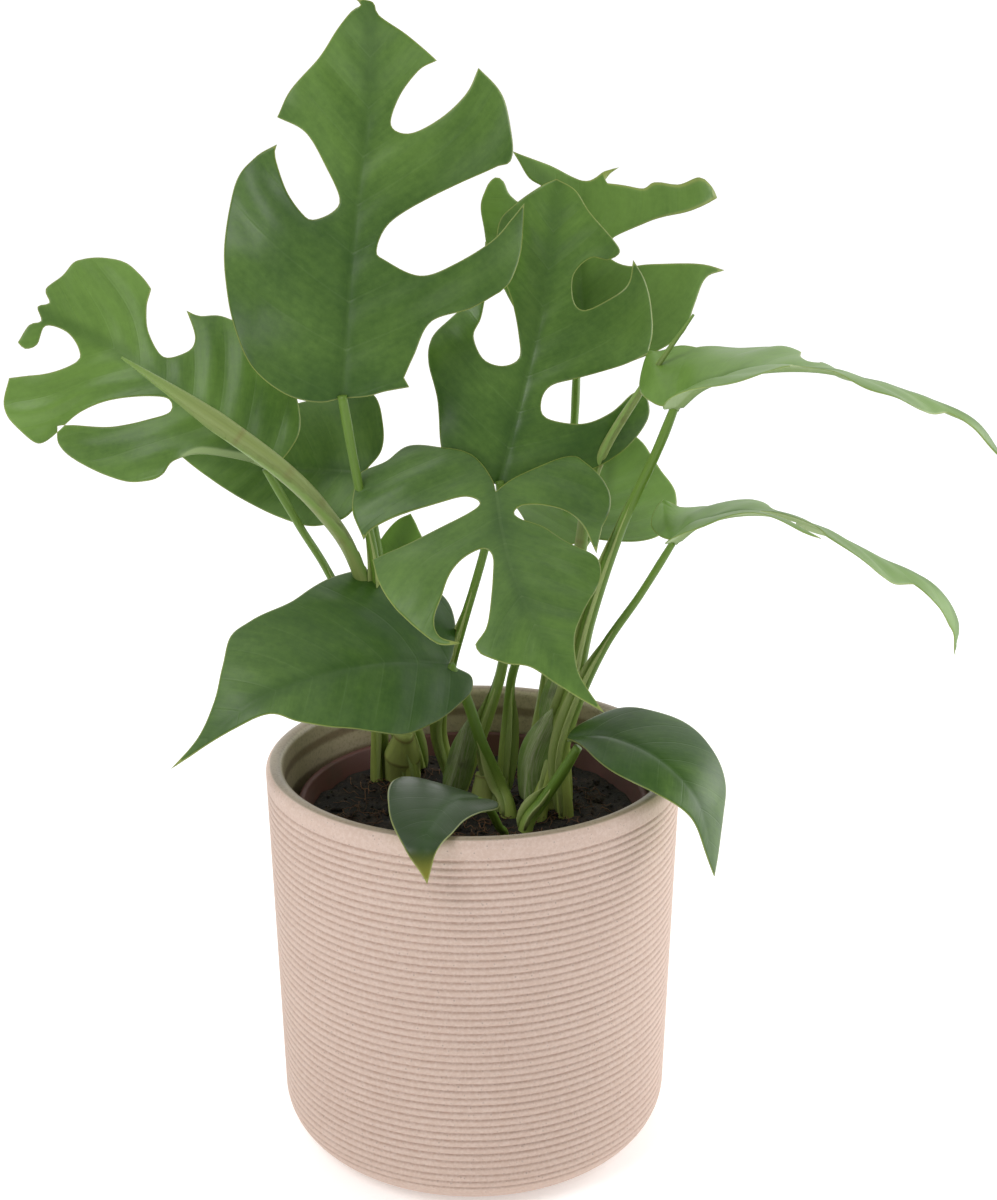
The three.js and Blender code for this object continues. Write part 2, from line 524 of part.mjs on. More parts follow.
for (const [name, entry] of Object.entries(STALKS)) {
  const path = stalkPath(entry);
  const body = cutClear(solidOf(stalk(path, entry.radii)), stems);
  add(name, geometryOf(body), name.startsWith('spear') ? newLeaf : stalkGreen);
  stems.push(solidOf(stalk(path, entry.radii, CLEARANCE)));
}

const thick = [];
for (const [name, leaf] of Object.entries(LEAVES)) {
  const body = cutClear(solidOf(blade(leaf)), [...stems, ...thick]);
  add(name, geometryOf(body), leafGreen);
  thick.push(solidOf(blade(leaf, CLEARANCE)));
}

for (const [name, sheath] of Object.entries(SHEATHS)) {
  const body = cutClear(solidOf(blade(sheath)), [...stems, ...thick]);
  add(name, geometryOf(body), driedSheath);
  thick.push(solidOf(blade(sheath, CLEARANCE)));
}

add('soil', geometryOf(soil(stems)), pottingSoil);
add('nursery_pot', geometryOf(nurseryPot()), nurseryPlastic);
add('ceramic_pot', stonewarePot(), stoneware);

export default plant;
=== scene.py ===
"""Potted monstera: the looks of a young split-leaf plant in a ribbed stoneware pot."""
import math
import random

import bmesh
import bpy
import numpy as np
from bpy.props import FloatProperty, FloatVectorProperty, IntProperty, PointerProperty
from mathutils import Matrix, Vector, noise
from mathutils.geometry import delaunay_2d_cdt


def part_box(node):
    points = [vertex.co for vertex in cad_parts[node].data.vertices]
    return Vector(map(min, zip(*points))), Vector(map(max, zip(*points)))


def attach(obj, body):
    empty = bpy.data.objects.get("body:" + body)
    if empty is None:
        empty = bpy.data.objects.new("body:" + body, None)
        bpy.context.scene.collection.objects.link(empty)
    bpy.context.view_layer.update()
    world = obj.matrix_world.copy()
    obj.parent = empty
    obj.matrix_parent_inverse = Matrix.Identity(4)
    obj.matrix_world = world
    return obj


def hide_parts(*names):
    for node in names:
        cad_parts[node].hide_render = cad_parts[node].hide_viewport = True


bl_info = {
    "name": "Potted Monstera",
    "version": (1, 0, 0),
    "blender": (4, 5, 0),
    "location": "3D View > Sidebar > Monstera",
    "description": "Builds a potted monstera with ribbed stoneware pot, soil, stalks and leaves",
    "category": "Object",
}

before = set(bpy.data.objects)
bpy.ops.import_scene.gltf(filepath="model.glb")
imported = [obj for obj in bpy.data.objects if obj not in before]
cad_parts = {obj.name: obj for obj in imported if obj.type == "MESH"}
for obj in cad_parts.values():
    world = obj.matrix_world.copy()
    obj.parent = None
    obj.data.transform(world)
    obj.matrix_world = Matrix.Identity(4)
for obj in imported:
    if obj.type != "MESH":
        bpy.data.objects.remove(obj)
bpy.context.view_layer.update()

MM = 0.001
SOIL_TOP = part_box("soil")[1][2] / MM
SOIL_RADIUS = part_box("soil")[1][0] / MM
NURSERY_LOW, NURSERY_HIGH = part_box("nursery_pot")
POT_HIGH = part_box("ceramic_pot")[1]
RIM_RADIUS = POT_HIGH[0] / MM
RIM_ABOVE_SOIL = POT_HIGH[2] / MM - SOIL_TOP
NURSERY_RADIUS = 60.0
NURSERY_TAPER = 12.0  # how much narrower the nursery pot is at its foot
NURSERY_BAND = 7.0  # height of the thicker band below its top
NURSERY_LIP = 1.5
SOIL_TAPER = 10.5
ROLLED_LEAF_RINGS = (0.56, 0.63, 0.7, 0.79)  # places along it, as shares
POT_FOOT_RADIUS = 69.0
POT_FOOT_ROUND = 16.0
POT_WALL = 6.0
POT_FLOOR = 9.0
LIP_GLAZE_POINTS = 10  # how many points of the lip's rounding the glaze covers
ROOT_DEPTH = 20  # how far the stems reach into the soil
CAMERA_PLACE = (8.8, -584, 377)
CAMERA_PITCH = 72.7  # degrees up from looking straight down

# ---- Where things grow: the same places as the plant's solids, in millimetres --------------


def spot(x, y, z):
    """A place over the soil, from the centre of its surface."""
    return Vector((x, y, SOIL_TOP + z))


def past_rim(degrees, beyond, over):
    """A place outside the pot's rim, that far beyond it and over its top."""
    angle = math.radians(degrees)
    reach = RIM_RADIUS + beyond
    return spot(reach * math.cos(angle), reach * math.sin(angle), RIM_ABOVE_SOIL + over)


SHOOTS = {
    "left": {"foot": (-27, 33), "lean": (2, -11), "height": 22, "radii": (5, 5, 6.6, 6.4, 3)},
    "centre": {"foot": (3, 6), "lean": (1, 2), "height": 12, "radii": (5, 5, 3)},
    "right": {"foot": (25.2, 8.4), "lean": (3, 3), "height": 20, "radii": (5, 5.5, 3)},
}

# sheath: the part of the stalk, from its foot, that carries the pale winged sheath, in mm above
# the soil, and the way the wings open.
STALKS = {
    "petiole_top": {
        "shoot": "left", "foot": (5, -8), "radii": (3.2, 2.2, 1.7, 1.6),
        "via": [(-32, 24, 53), (-34, 14, 89), (-39, 9, 119), (-43, 5, 148)],
        "sheath": 112, "open": (-0.6, -0.8, 0),
    },
    "petiole_left": {
        "shoot": "left", "foot": (-9, -3), "radii": (3, 1.8, 1.5, 1.4),
        "via": [(-37, 28, 40), (-49, 22, 78), (-60, 16, 101), (-70, 11, 122)],
        "sheath": 88, "open": (1, -0.5, 0),
    },
    "petiole_left_entire": {
        "shoot": "left", "foot": (-1, 10), "radii": (2.6, 1.6, 1.5),
        "via": [(-30, 34, 53), (-35, 31, 96), (-40, 28, 117)],
        "sheath": 60, "open": (1, -0.5, 0),
    },
    "petiole_pale": {
        "shoot": "left", "foot": (7, 7), "radii": (2.2, 1.4, 1.2),
        "via": [(-28, 41, 32), (-31, 37, 68)],
        "sheath": 30, "open": (1, -0.5, 0),
    },
    "petiole_front": {
        "shoot": "centre", "foot": (-11, 22), "radii": (3, 1.8, 1.6, 1.5),
        "via": [(-12, 30, 20), (-8, 20, 47), (-4, 14, 64), (4, 9, 94), (8, 4, 115)],
        "sheath": 84, "open": (-1, -0.6, 0),
    },
    "petiole_low_left": {
        "shoot": "centre", "foot": (9, -6), "radii": (4.6, 3, 2.2, 1.8),
        "via": [(9, 4, 9), (3, 2, 25), (-2, 2, 41), (-8, 1, 55)],
        "sheath": 30, "open": (-1, -0.4, 0),
    },
    "petiole_centre": {
        "shoot": "centre", "foot": (-9, 5), "radii": (4, 2.4, 1.8, 1.6),
        "via": [(-3, 17, 8), (5, 18, 30), (11, 20, 54), (12, 20, 87), (9, 18, 116)],
        "sheath": 48, "open": (-1, -0.6, 0),
    },
    "petiole_rim_front": {
        "shoot": "centre", "foot": (8, -26), "radii": (1.8, 1.5, 1.3),
        "via": [(9, -25, 6), (6, -29, 14), (2, -32, 19)],
        "sheath": 0, "open": (0, -1, 0),
    },
    "petiole_back": {
        "shoot": "right", "foot": (-6, 12), "radii": (3.4, 2, 1.6, 1.5),
        "via": [(26, 34, 38), (33, 46, 88), (36, 54, 126), (37, 59, 147)],
        "sheath": 80, "open": (1, -0.6, 0),
    },
    "petiole_behind_right": {
        "shoot": "right", "foot": (-15, 10), "radii": (3, 1.8, 1.5),
        "via": [(12, 28, 24), (15, 28, 46), (27, 31, 70), (41, 33, 92)],
        "sheath": 40, "open": (1, -0.6, 0),
    },
    "petiole_right_high": {
        "shoot": "right", "foot": (-3, -10.5), "radii": (4.4, 3, 2.2, 1.5),
        "via": [(28, 10, 22), (35, 8, 44), (40, 8, 69), (50, 6, 102), (61, 2, 129), (67, 0, 146)],
        "sheath": 122, "open": (-0.8, -0.6, 0.2),
    },
    "petiole_right_low": {
        "shoot": "right", "foot": (7, -8), "radii": (4, 2.4, 1.6, 1.2),
        "via": [(31, 0, 22), (37, 2, 43), (46, 4, 62), (57, 2, 80), (68, 2, 99)],
        "sheath": 72, "open": (-0.9, -0.4, 0.3),
    },
    "petiole_rim_right": {
        "shoot": "right", "foot": (-7, -21), "radii": (3.6, 2.4, 1.6),
        "via": [(24, -10, 9), (30, -11, 19), (36, -12, 30)],
        "sheath": 18, "open": (-0.8, -0.6, 0.3),
    },
    "spear_left": {
        "shoot": "left", "foot": (-8, 5), "radii": (3, 3, 3, 2.6, 3.1, 3.2, 0.4),
        "via": [(-35, 27, 56), (-41, 15, 89), (-50, 7, 108), (-64, 1, 125), (-90, 0, 145),
                (-115, 4, 161)],
    },
    "spear_right": {
        "shoot": "right", "foot": (8, 5), "radii": (2.6, 2.2, 2.2, 2.2, 1.6, 0.4),
        "via": [(32, 23, 42), (37, 25, 86), (43, 25, 119), (57, 22, 146), (74, 18, 173)],
    },
}

# rib: the midrib's points from stalk to tip. up: the way the upper side faces at base and tip.
# rise: degrees that the left and right halves stand up, at base and tip. ease: how early that
# changes on each half, 1 for evenly. curl: degrees that each half bends down over 10 mm. ripple:
# height, length and start of the margin's waves. roll: the stretch of the left margin that is
# turned up. outline: [along the midrib, out from it]; a third value 1 marks a sharp corner.
LEAVES = {
    "blade_top": {
        "rib": [spot(-43, 6, 147), spot(-41, 16, 178), spot(-38, 26, 210), spot(-34, 34, 242),
            spot(-33, 32, 271)],
        "up": [Vector((0.05, -1, 0.15)), Vector((0, -1, 0.35))],
        "rise": [6, 0, 6, 0], "curl": [4, 5], "ripple": [1.5, 46, 0.2],
        "outline": [[0, 0, 1], [-2, -8], [0, -19], [8, -30], [21, -37], [34, -41], [49, -43], [67, -42],
            [76, -36], [81, -29, 1], [77, -29], [67, -24], [60, -18], [58, -14], [61, -8], [66, -6],
            [76, -12], [86, -20], [90, -30, 1], [101, -26], [112, -17], [121, -11], [127, -6],
            [129, -3], [131, -5, 1], [130, 1], [126, 3], [120, 12], [112, 22, 1], [109, 16], [101, 10],
            [92, 8], [90, 14], [95, 23], [103, 32], [110, 36, 1], [103, 45], [93, 50], [87, 50],
            [85, 46, 1], [77, 33], [68, 21], [59, 11], [50, 8], [47, 11], [43, 23], [48, 34], [60, 48],
            [75, 57, 1], [58, 58], [46, 55], [41, 51, 1], [34, 41], [28, 28], [16, 23], [8, 20, 1],
            [5, 22, 1], [3, 14], [1, 8]],
    },
    "blade_left": {
        "rib": [spot(-69, 12, 124), spot(-85, 16, 136), spot(-104, 22, 149), spot(-124, 28, 161),
            spot(-142, 26, 170)],
        "up": [Vector((-0.1, -0.75, 0.6)), Vector((-0.1, -0.8, 0.5))],
        "rise": [4, 0, 4, 0], "curl": [5, 5], "ripple": [1.5, 44, 0.6],
        "roll": (-1, 26),
        "outline": [[-2, -2, 1], [9, -7], [19, -13], [25, -20], [25, -26], [28, -31], [36, -36],
            [54, -39], [64, -38], [71, -33, 1], [64, -30], [51, -23], [41, -13], [37, -7], [40, -4],
            [46, -7], [57, -16], [64, -25], [69, -35], [77, -41], [85, -39], [92, -33], [94, -24, 1],
            [83, -17], [76, -10], [77, -6], [83, -2], [90, -3], [90, -10], [93, -13], [96, -12, 1],
            [95, -5], [92, -2], [95, 2], [92, 5], [95, 9], [92, 16], [90, 23], [85, 27], [76, 30],
            [71, 28], [67, 25, 1], [65, 18], [60, 11], [51, 7], [46, 13], [47, 19], [56, 26, 1],
            [51, 27], [44, 32], [29, 33], [12, 27], [0, 17], [-3, 7]],
    },
    "blade_left_entire": {
        "rib": [spot(-38, 26, 117), spot(-57, 32, 117), spot(-77, 38, 117), spot(-102, 42, 119)],
        "up": [Vector((0, -0.8, 0.5)), Vector((0, -0.8, 0.5))],
        "rise": [6, 0, 6, 0], "curl": [4, 4], "ripple": [1, 40, 0.1],
        "outline": [[0, 0, 1], [-1, -8], [3, -17], [15, -21], [30, -18], [46, -12], [60, -5],
            [70, 1, 1], [61, 7], [46, 17], [30, 25], [15, 28], [2, 29], [-4, 18], [-5, 8]],
    },
    "blade_centre": {
        "rib": [spot(9, 18, 115), spot(14, 24, 133), spot(19, 32, 152), spot(25, 42, 178),
            spot(29, 46, 210)],
        "up": [Vector((0, -1, 0.2)), Vector((0, -1, 0.3))],
        "rise": [8, 0, 8, 0], "curl": [5, 5], "ripple": [1.5, 42, 0.3],
        "outline": [[0, 0, 1], [-3, -10], [0, -18], [8, -23], [23, -28], [35, -34], [44, -35],
            [52, -31], [59, -26], [63, -20, 1], [55, -20], [48, -21], [41, -16], [40, -9], [44, -4],
            [52, -6], [64, -11], [77, -18], [90, -19], [97, -14], [104, -6], [107, -1, 1], [104, 6],
            [97, 12], [89, 21], [85, 24], [82, 20], [82, 14], [76, 9], [68, 10], [65, 14], [69, 21],
            [75, 28], [83, 29, 1], [77, 34], [69, 38], [63, 40], [57, 40, 1], [50, 31], [42, 18],
            [37, 9], [31, 7], [26, 10], [27, 22], [33, 31], [41, 37], [44, 41, 1], [35, 45], [21, 38],
            [10, 26], [2, 14], [-1, 5]],
    },
    "blade_front": {
        "rib": [spot(8, 4, 116), spot(10, -10, 106), spot(14, -28, 95), spot(23, -46, 80),
            spot(41, -58, 61)],
        "up": [Vector((0, -0.45, 1)), Vector((0.1, -0.75, 0.6))],
        "rise": [2, 0, 2, 0], "curl": [4, 4], "ripple": [1.5, 40, 0.5],
        "outline": [[0, 0, 1], [-6, 1], [-16, 6], [-22, 17], [-25, 28], [-19, 36], [-16, 45], [-9, 48],
            [0, 49], [11, 46, 1], [8, 43], [5, 33], [3, 19], [2, 10], [5, 6], [9, 11], [15, 27],
            [20, 44, 1], [31, 43], [40, 39], [51, 32], [54, 28], [55, 24, 1], [51, 29], [46, 29],
            [40, 25], [32, 19], [27, 13], [25, 7], [30, 5], [43, 9], [53, 14], [57, 20, 1], [60, 20],
            [65, 15], [69, 9], [77, 6], [86, 3], [94, 0, 1], [85, -1], [78, -3], [69, -9], [62, -15],
            [49, -25], [41, -29], [34, -28], [26, -21], [17, -14], [13, -7], [10, -5], [7, -8],
            [7, -16], [10, -24], [18, -28], [33, -29, 1], [20, -33], [5, -39], [-3, -38], [-11, -32],
            [-14, -28], [-10, -18], [-5, -7]],
    },
    "blade_low_left": {
        "rib": [spot(-8, 2, 55), spot(-28, -12, 61), spot(-50, -26, 61), spot(-72, -38, 55),
            spot(-95, -44, 36)],
        "up": [Vector((-0.1, -0.7, 0.7)), Vector((-0.2, -0.7, 0.6))],
        "rise": [8, 4, 8, 4], "curl": [6, 6], "ripple": [1, 50, 0.2],
        "outline": [[0, 0, 1], [-3, -2], [-7, -5], [-5, -11], [1, -16], [14, -24], [33, -28],
            [54, -21], [66, -14], [73, -7], [85, -4], [98, -1], [110, 1, 1], [96, 3], [85, 9],
            [77, 18], [70, 27], [62, 29], [48, 31], [30, 40], [18, 41], [4, 39], [-7, 28], [-7, 16],
            [-3, 5]],
    },
    "blade_rim_right": {
        "rib": [spot(32, -6, 31), spot(46, -20, 37), past_rim(-30, 0, 12), past_rim(-32, 15, 1),
            past_rim(-32, 21, -21)],
        "up": [Vector((-0.1, -0.5, 1)), Vector((0.8, -0.5, 0.6))],
        "rise": [4, 0, 10, 0], "curl": [8, 10], "ripple": [0, 40, 0.2],
        "outline": [[0, 0, 1], [1, -5], [6, -10], [14, -17], [23, -21], [34, -25], [47, -24],
            [60, -20], [72, -13], [82, -6], [88, 0, 1], [78, 3], [66, 6], [53, 13], [40, 16],
            [26, 13], [10, 5]],
    },
    "blade_rim_front": {
        "rib": [spot(3, -30, 19), spot(-5, -48, 26), past_rim(-100, -5, 4), past_rim(-100, 8, 1),
            past_rim(-99, 12, -8)],
        "up": [Vector((0, -0.3, 1)), Vector((0, -0.9, 0.5))],
        "rise": [6, 0, 6, 0], "curl": [8, 8], "ripple": [0, 40, 0.2],
        "outline": [[-1, 0, 1], [0, -6], [8, -10], [19, -10], [32, -8], [45, -7], [57, -3],
            [65, 0, 1], [59, 3], [50, 9], [42, 14], [30, 20], [19, 22], [9, 18], [1, 10]],
    },
    "blade_right_high": {
        "rib": [spot(67, 0, 145), spot(76, -2, 153), spot(91, -4, 158), spot(110, -6, 159),
            spot(127, -8, 156), spot(148, -10, 150), spot(163, -12, 143), spot(173, -14, 130)],
        "up": [Vector((-0.45, 0.05, 1)), Vector((0.45, 0.1, 1))],
        "rise": [38, -12, 15, -40], "ease": [0.5, 2.5], "curl": [4, 4], "ripple": [1.5, 36, 0.1],
        "outline": [[0, 0, 1], [-6, -8], [-9, -20], [-4, -31], [6, -34], [12, -29, 1], [20, -35],
            [33, -38], [46, -34, 1], [45, -18], [47, -11], [51, -15], [52, -28], [54, -36, 1],
            [68, -31], [79, -20, 1], [76, -11], [80, -7], [84, -12], [88, -18], [100, -12],
            [112, -4], [120, 0, 1], [112, 4], [104, 6], [92, 8, 1], [88, 14], [80, 23], [72, 27],
            [64, 26], [57, 19], [53, 11], [49, 7], [44, 8], [41, 16], [39, 31, 1], [26, 36],
            [12, 34], [3, 24], [0, 10]],
    },
    "blade_right_low": {
        "rib": [spot(68, 2, 99), spot(76, 0, 106), spot(88, -2, 110), spot(102, -4, 110),
            spot(118, -6, 105), spot(134, -8, 97), spot(153, -10, 88), spot(162, -12, 76),
            spot(162, -13, 64)],
        "up": [Vector((-0.5, 0.1, 1)), Vector((0.6, 0.1, 0.9))],
        "rise": [26, -10, 15, -40], "ease": [0.25, 2.2], "curl": [4, 4], "ripple": [1.5, 36, 0.4],
        "outline": [[0, 0, 1], [-5, -8], [-7, -18], [-2, -27], [8, -30], [22, -31], [34, -31, 1],
            [36, -14], [40, -9], [45, -14], [48, -28, 1], [58, -31], [68, -26, 1], [66, -12],
            [70, -8], [74, -12], [78, -21], [90, -15], [102, -6], [122, 0, 1], [113, 6], [104, 11],
            [94, 13], [86, 12, 1], [83, 15], [77, 22], [70, 28], [61, 28], [52, 23, 1], [49, 12],
            [44, 6], [37, 5], [32, 8], [33, 16], [41, 24], [50, 28, 1], [40, 31], [26, 31],
            [14, 28], [4, 20], [0, 8]],
    },
    "blade_back": {
        "rib": [spot(37, 58, 147), spot(39, 66, 168), spot(37, 72, 189), spot(33, 74, 204),
            spot(14, 66, 223)],
        "up": [Vector((0, -1, 0.3)), Vector((0, -1, 0.4))],
        "rise": [5, 0, 5, 0], "curl": [5, 4], "ripple": [1, 40, 0.1],
        "outline": [[0, 0, 1], [1, -12], [13, -20], [33, -28], [54, -33], [68, -34], [84, -24],
            [88, -16], [88, -11], [85, -10], [80, -12], [73, -11], [70, -6], [71, -2], [78, -3],
            [85, -1], [89, 0, 1], [76, 5], [63, 10], [61, 19], [60, 24, 1], [60, 19], [59, 17],
            [56, 27], [56, 33], [55, 41], [55, 50], [54, 54], [53, 55, 1], [52, 43], [51, 27],
            [47, 14], [41, 11], [38, 13], [36, 18], [36, 26], [35, 44], [33, 54, 1], [31, 46],
            [24, 41], [17, 37], [11, 29], [7, 22], [1, 10]],
    },
    "blade_behind_right": {
        "rib": [spot(41, 32, 91), spot(45, 46, 97), spot(49, 66, 109), spot(50, 78, 123)],
        "up": [Vector((0, -0.7, 1)), Vector((0, -0.7, 1))],
        "rise": [4, 0, 4, 0], "curl": [4, 4], "ripple": [1, 40, 0.1],
        "outline": [[1, 0, 1], [-6, -9], [0, -22], [16, -31], [37, -32], [52, -22], [58, -7],
            [61, 1, 1], [52, 12], [42, 19], [34, 26], [23, 27], [12, 24], [5, 17], [2, 8]],
    },
    "blade_pale": {
        "rib": [spot(-31, 36, 68), spot(-28, 40, 82), spot(-23, 46, 97)],
        "up": [Vector((0.1, -1, 0.2)), Vector((0.1, -1, 0.2))],
        "rise": [6, 0, 6, 0], "curl": [4, 4], "ripple": [0, 40, 0.1],
        "outline": [[0, 0, 1], [4, -6], [12, -9], [21, -7], [28, -4], [32, 0, 1], [28, 4], [21, 9],
            [9, 8], [2, 4]],
    },
}

# Dried sheaths that once wrapped a shoot.
SHEATHS = {
    "sheath_right_low": {
        "rib": [spot(19, -1, 5), spot(20, 1, 20), spot(27, 1, 38)],
        "up": [Vector((0.3, 1, 0)), Vector((0.3, 1, 0))],
        "rise": [30, 30, 30, 30], "curl": [-40, -40], "ripple": [0, 40, 0],
        "outline": [[0, 0, 1], [1, -5], [9, -8], [20, -7], [30, -3], [36, 0, 1], [30, 3], [20, 7],
            [9, 8], [1, 5]],
    },
    "sheath_right_high": {
        "rib": [spot(27, 14, 26), spot(30, 15, 40), spot(34, 15, 54)],
        "up": [Vector((0.2, 1, 0)), Vector((0.2, 1, 0))],
        "rise": [20, 20, 20, 20], "curl": [-30, -30], "ripple": [0, 40, 0],
        "outline": [[0, 0, 1], [1, -4], [8, -7], [18, -5], [28, 0, 1], [18, 5], [8, 7], [1, 4]],
    },
    "sheath_centre": {
        "rib": [spot(-8, 9, 4), spot(-5, 9, 16), spot(-1, 9, 34)],
        "up": [Vector((0.2, 1, 0)), Vector((0.2, 1, 0))],
        "rise": [25, 25, 25, 25], "curl": [-35, -35], "ripple": [0, 40, 0],
        "outline": [[0, 0, 1], [1, -5], [8, -6], [18, -5], [30, 0, 1], [18, 5], [8, 6], [1, 5]],
    },
}


# How each leaf differs: tone from dark (0) to fresh (1), gloss from matt (0) to wet (1), and how
# strongly it swells between its veins. A tone below 0 is an old leaf, darker and with a dry tip.
LEAF_LOOKS = {
    "blade_top": (0.3, 0.6, 1.2), "blade_left": (0.52, 0.5, 1.3),
    "blade_left_entire": (0.45, 0.3, 0.6), "blade_centre": (0.34, 0.9, 1),
    "blade_front": (0.45, 0.6, 1), "blade_low_left": (0.18, 0.5, 0.6),
    "blade_rim_right": (0.12, 0.7, 0.12), "blade_rim_front": (-0.4, 0.9, 0.1),
    "blade_right_high": (0.85, 0.5, 0.8), "blade_right_low": (0.9, 0.4, 0.8),
    "blade_back": (0.66, 0.5, 1), "blade_behind_right": (0.72, 0.2, 0.7),
    "blade_pale": (0.9, 0.2, 0.4),
}


# ---- Shader expressions --------------------------------------------------------------------


class Value:
    """A number in a shader. Arithmetic on it adds the Math nodes."""

    def __init__(self, shader, socket):
        self.shader = shader
        self.socket = socket

    def _math(self, operation, *values):
        made = self.shader.node("ShaderNodeMath", {"operation": operation}, values)
        return Value(self.shader, made.outputs[0])

    def __add__(self, other):
        return self._math("ADD", self, other)

    def __radd__(self, other):
        return self._math("ADD", other, self)

    def __sub__(self, other):
        return self._math("SUBTRACT", self, other)

    def __rsub__(self, other):
        return self._math("SUBTRACT", other, self)

    def __mul__(self, other):
        return self._math("MULTIPLY", self, other)

    def __rmul__(self, other):
        return self._math("MULTIPLY", other, self)

    def __abs__(self):
        return self._math("ABSOLUTE", self)

    def off_whole(self):
        """How far it is from the nearest whole number."""
        return abs(self._math("FRACT", self + 0.5) - 0.5)

    def between(self, low, high):
        """Zero at low, one at high, and held outside them."""
        settings = {"interpolation_type": "SMOOTHSTEP"}
        node = self.shader.node("ShaderNodeMapRange", settings, {0: self, 1: low, 2: high})
        return Value(self.shader, node.outputs[0])


class Shader:
    """One material's node tree, or the surround's."""

    def __init__(self, name, kind="materials"):
        self.material = getattr(bpy.data, kind).new(name)
        self.material.use_nodes = True
        self.tree = self.material.node_tree
        self.tree.nodes.clear()

    def node(self, kind, settings=None, inputs=()):
        made = self.tree.nodes.new(kind)
        for key, value in (settings or {}).items():
            setattr(made, key, value)
        entries = inputs.items() if isinstance(inputs, dict) else enumerate(inputs)
        for key, value in entries:
            target = made.inputs[key]
            if isinstance(value, Value):
                self.tree.links.new(value.socket, target)
            elif isinstance(value, bpy.types.NodeSocket):
                self.tree.links.new(value, target)
            else:
                target.default_value = value
        return made

    def attribute(self, name):
        node = self.node("ShaderNodeAttribute", {"attribute_name": name})
        return Value(self, node.outputs["Fac"])

    def place(self):
        return self.node("ShaderNodeTexCoord").outputs["Object"]

    def parts(self, vector):
        node = self.node("ShaderNodeSeparateXYZ", inputs=[vector])
        return [Value(self, node.outputs[i]) for i in range(3)]

    def vector(self, x, y, z):
        return self.node("ShaderNodeCombineXYZ", inputs=[x, y, z]).outputs[0]

    def noise(self, scale, detail=3.0, rough=0.5, at=None):
        inputs = {"Scale": scale, "Detail": detail, "Roughness": rough}
        inputs["Vector"] = self.place() if at is None else at
        return Value(self, self.node("ShaderNodeTexNoise", inputs=inputs).outputs["Fac"])

    def cells(self, scale):
        inputs = {"Scale": scale, "Vector": self.place()}
        node = self.node("ShaderNodeTexVoronoi", inputs=inputs)
        return Value(self, node.outputs["Distance"])

    def mix(self, factor, first, second):
        node = self.node("ShaderNodeMix", {"data_type": "RGBA"}, {0: factor})
        for index, colour in ((6, first), (7, second)):
            if isinstance(colour, bpy.types.NodeSocket):
                self.tree.links.new(colour, node.inputs[index])
            else:
                node.inputs[index].default_value = (*colour[:3], 1)
        return node.outputs[2]

    def bump(self, height, strength, distance):
        inputs = {"Strength": strength, "Distance": distance, "Height": height}
        return self.node("ShaderNodeBump", inputs=inputs).outputs[0]

    def finish(self, **sockets):
        inputs = {key.replace("_", " "): value for key, value in sockets.items()}
        for key, value in inputs.items():
            if isinstance(value, tuple) and len(value) == 3:
                inputs[key] = (*value, 1)
        surface = self.node("ShaderNodeBsdfPrincipled", inputs=inputs)
        self.node("ShaderNodeOutputMaterial", inputs=[surface.outputs[0]])
        return self.material


# ---- Lines and tubes -----------------------------------------------------------------------


def hermite(before, start, end, after, t):
    """The curve from start to end that heads along its neighbours, at a share t of the way."""
    leave, arrive = (end - before) / 2, (after - start) / 2
    return (start * (2 * t**3 - 3 * t**2 + 1) + leave * (t**3 - 2 * t**2 + t)
            + end * (3 * t**2 - 2 * t**3) + arrive * (t**3 - t**2))


class Line:
    """A smooth line through points, measured along its length (mm)."""

    STEPS = 200

    def __init__(self, points):
        points = [Vector(point) for point in points]
        ends = [2 * points[0] - points[1], *points, 2 * points[-1] - points[-2]]
        self.samples = []
        spans = len(points) - 1
        for i in range(self.STEPS + 1):
            t = spans * i / self.STEPS
            k = min(int(t), spans - 1)
            self.samples.append(hermite(*ends[k:k + 4], t - k))
        gaps = [(b - a).length for a, b in zip(self.samples, self.samples[1:])]
        self.marks = np.concatenate([[0.0], np.cumsum(gaps)])
        self.length = float(self.marks[-1])
        self.array = np.array([tuple(sample) for sample in self.samples])

    def at(self, along):
        place = [float(np.interp(along, self.marks, self.array[:, k])) for k in range(3)]
        return Vector(place)

    def forward(self, along):
        step = 0.004 * self.length
        low = max(0.0, min(along, self.length) - step)
        high = min(self.length, max(along, 0.0) + step)
        return (self.at(high) - self.at(low)).normalized()


def steady_frames(line, count, first):
    """Places along a line with a side direction that turns no more than the line does."""
    frames = []
    side = Vector(first)
    for i in range(count + 1):
        along = line.length * i / count
        forward = line.forward(along)
        side = (side - forward * side.dot(forward)).normalized()
        frames.append((along, line.at(along), forward, side, forward.cross(side)))
    return frames


def share_of(values, share):
    """The value at a share of the way through a list of evenly spaced ones."""
    place = max(0.0, min(1.0, share)) * (len(values) - 1)
    low = min(int(place), len(values) - 2)
    return values[low] + (values[low + 1] - values[low]) * (place - low)


def mesh_piece(name, points, faces, material, node=None, slot=None, flat_faces=0, **attributes):
    """A mesh object from points in millimetres, with float attributes for its shader.

    The last flat_faces faces are shaded flat. The CAD node of that name is hidden in its place.
    """
    mesh = bpy.data.meshes.new(name)
    mesh.from_pydata([tuple(Vector(point) * MM) for point in points], [], faces)
    for key, values in attributes.items():
        layer = mesh.attributes.new(key, "FLOAT", "POINT")
        layer.data.foreach_set("value", np.asarray(values, dtype=np.float32))
    smooth = [True] * (len(faces) - flat_faces) + [False] * flat_faces
    mesh.polygons.foreach_set("use_smooth", smooth)
    mesh.materials.append(material)
    mesh.update()
    piece = bpy.data.objects.new(name, mesh)
    bpy.context.scene.collection.objects.link(piece)
    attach(piece, "root")
    if node:
        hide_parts(node)
    return piece


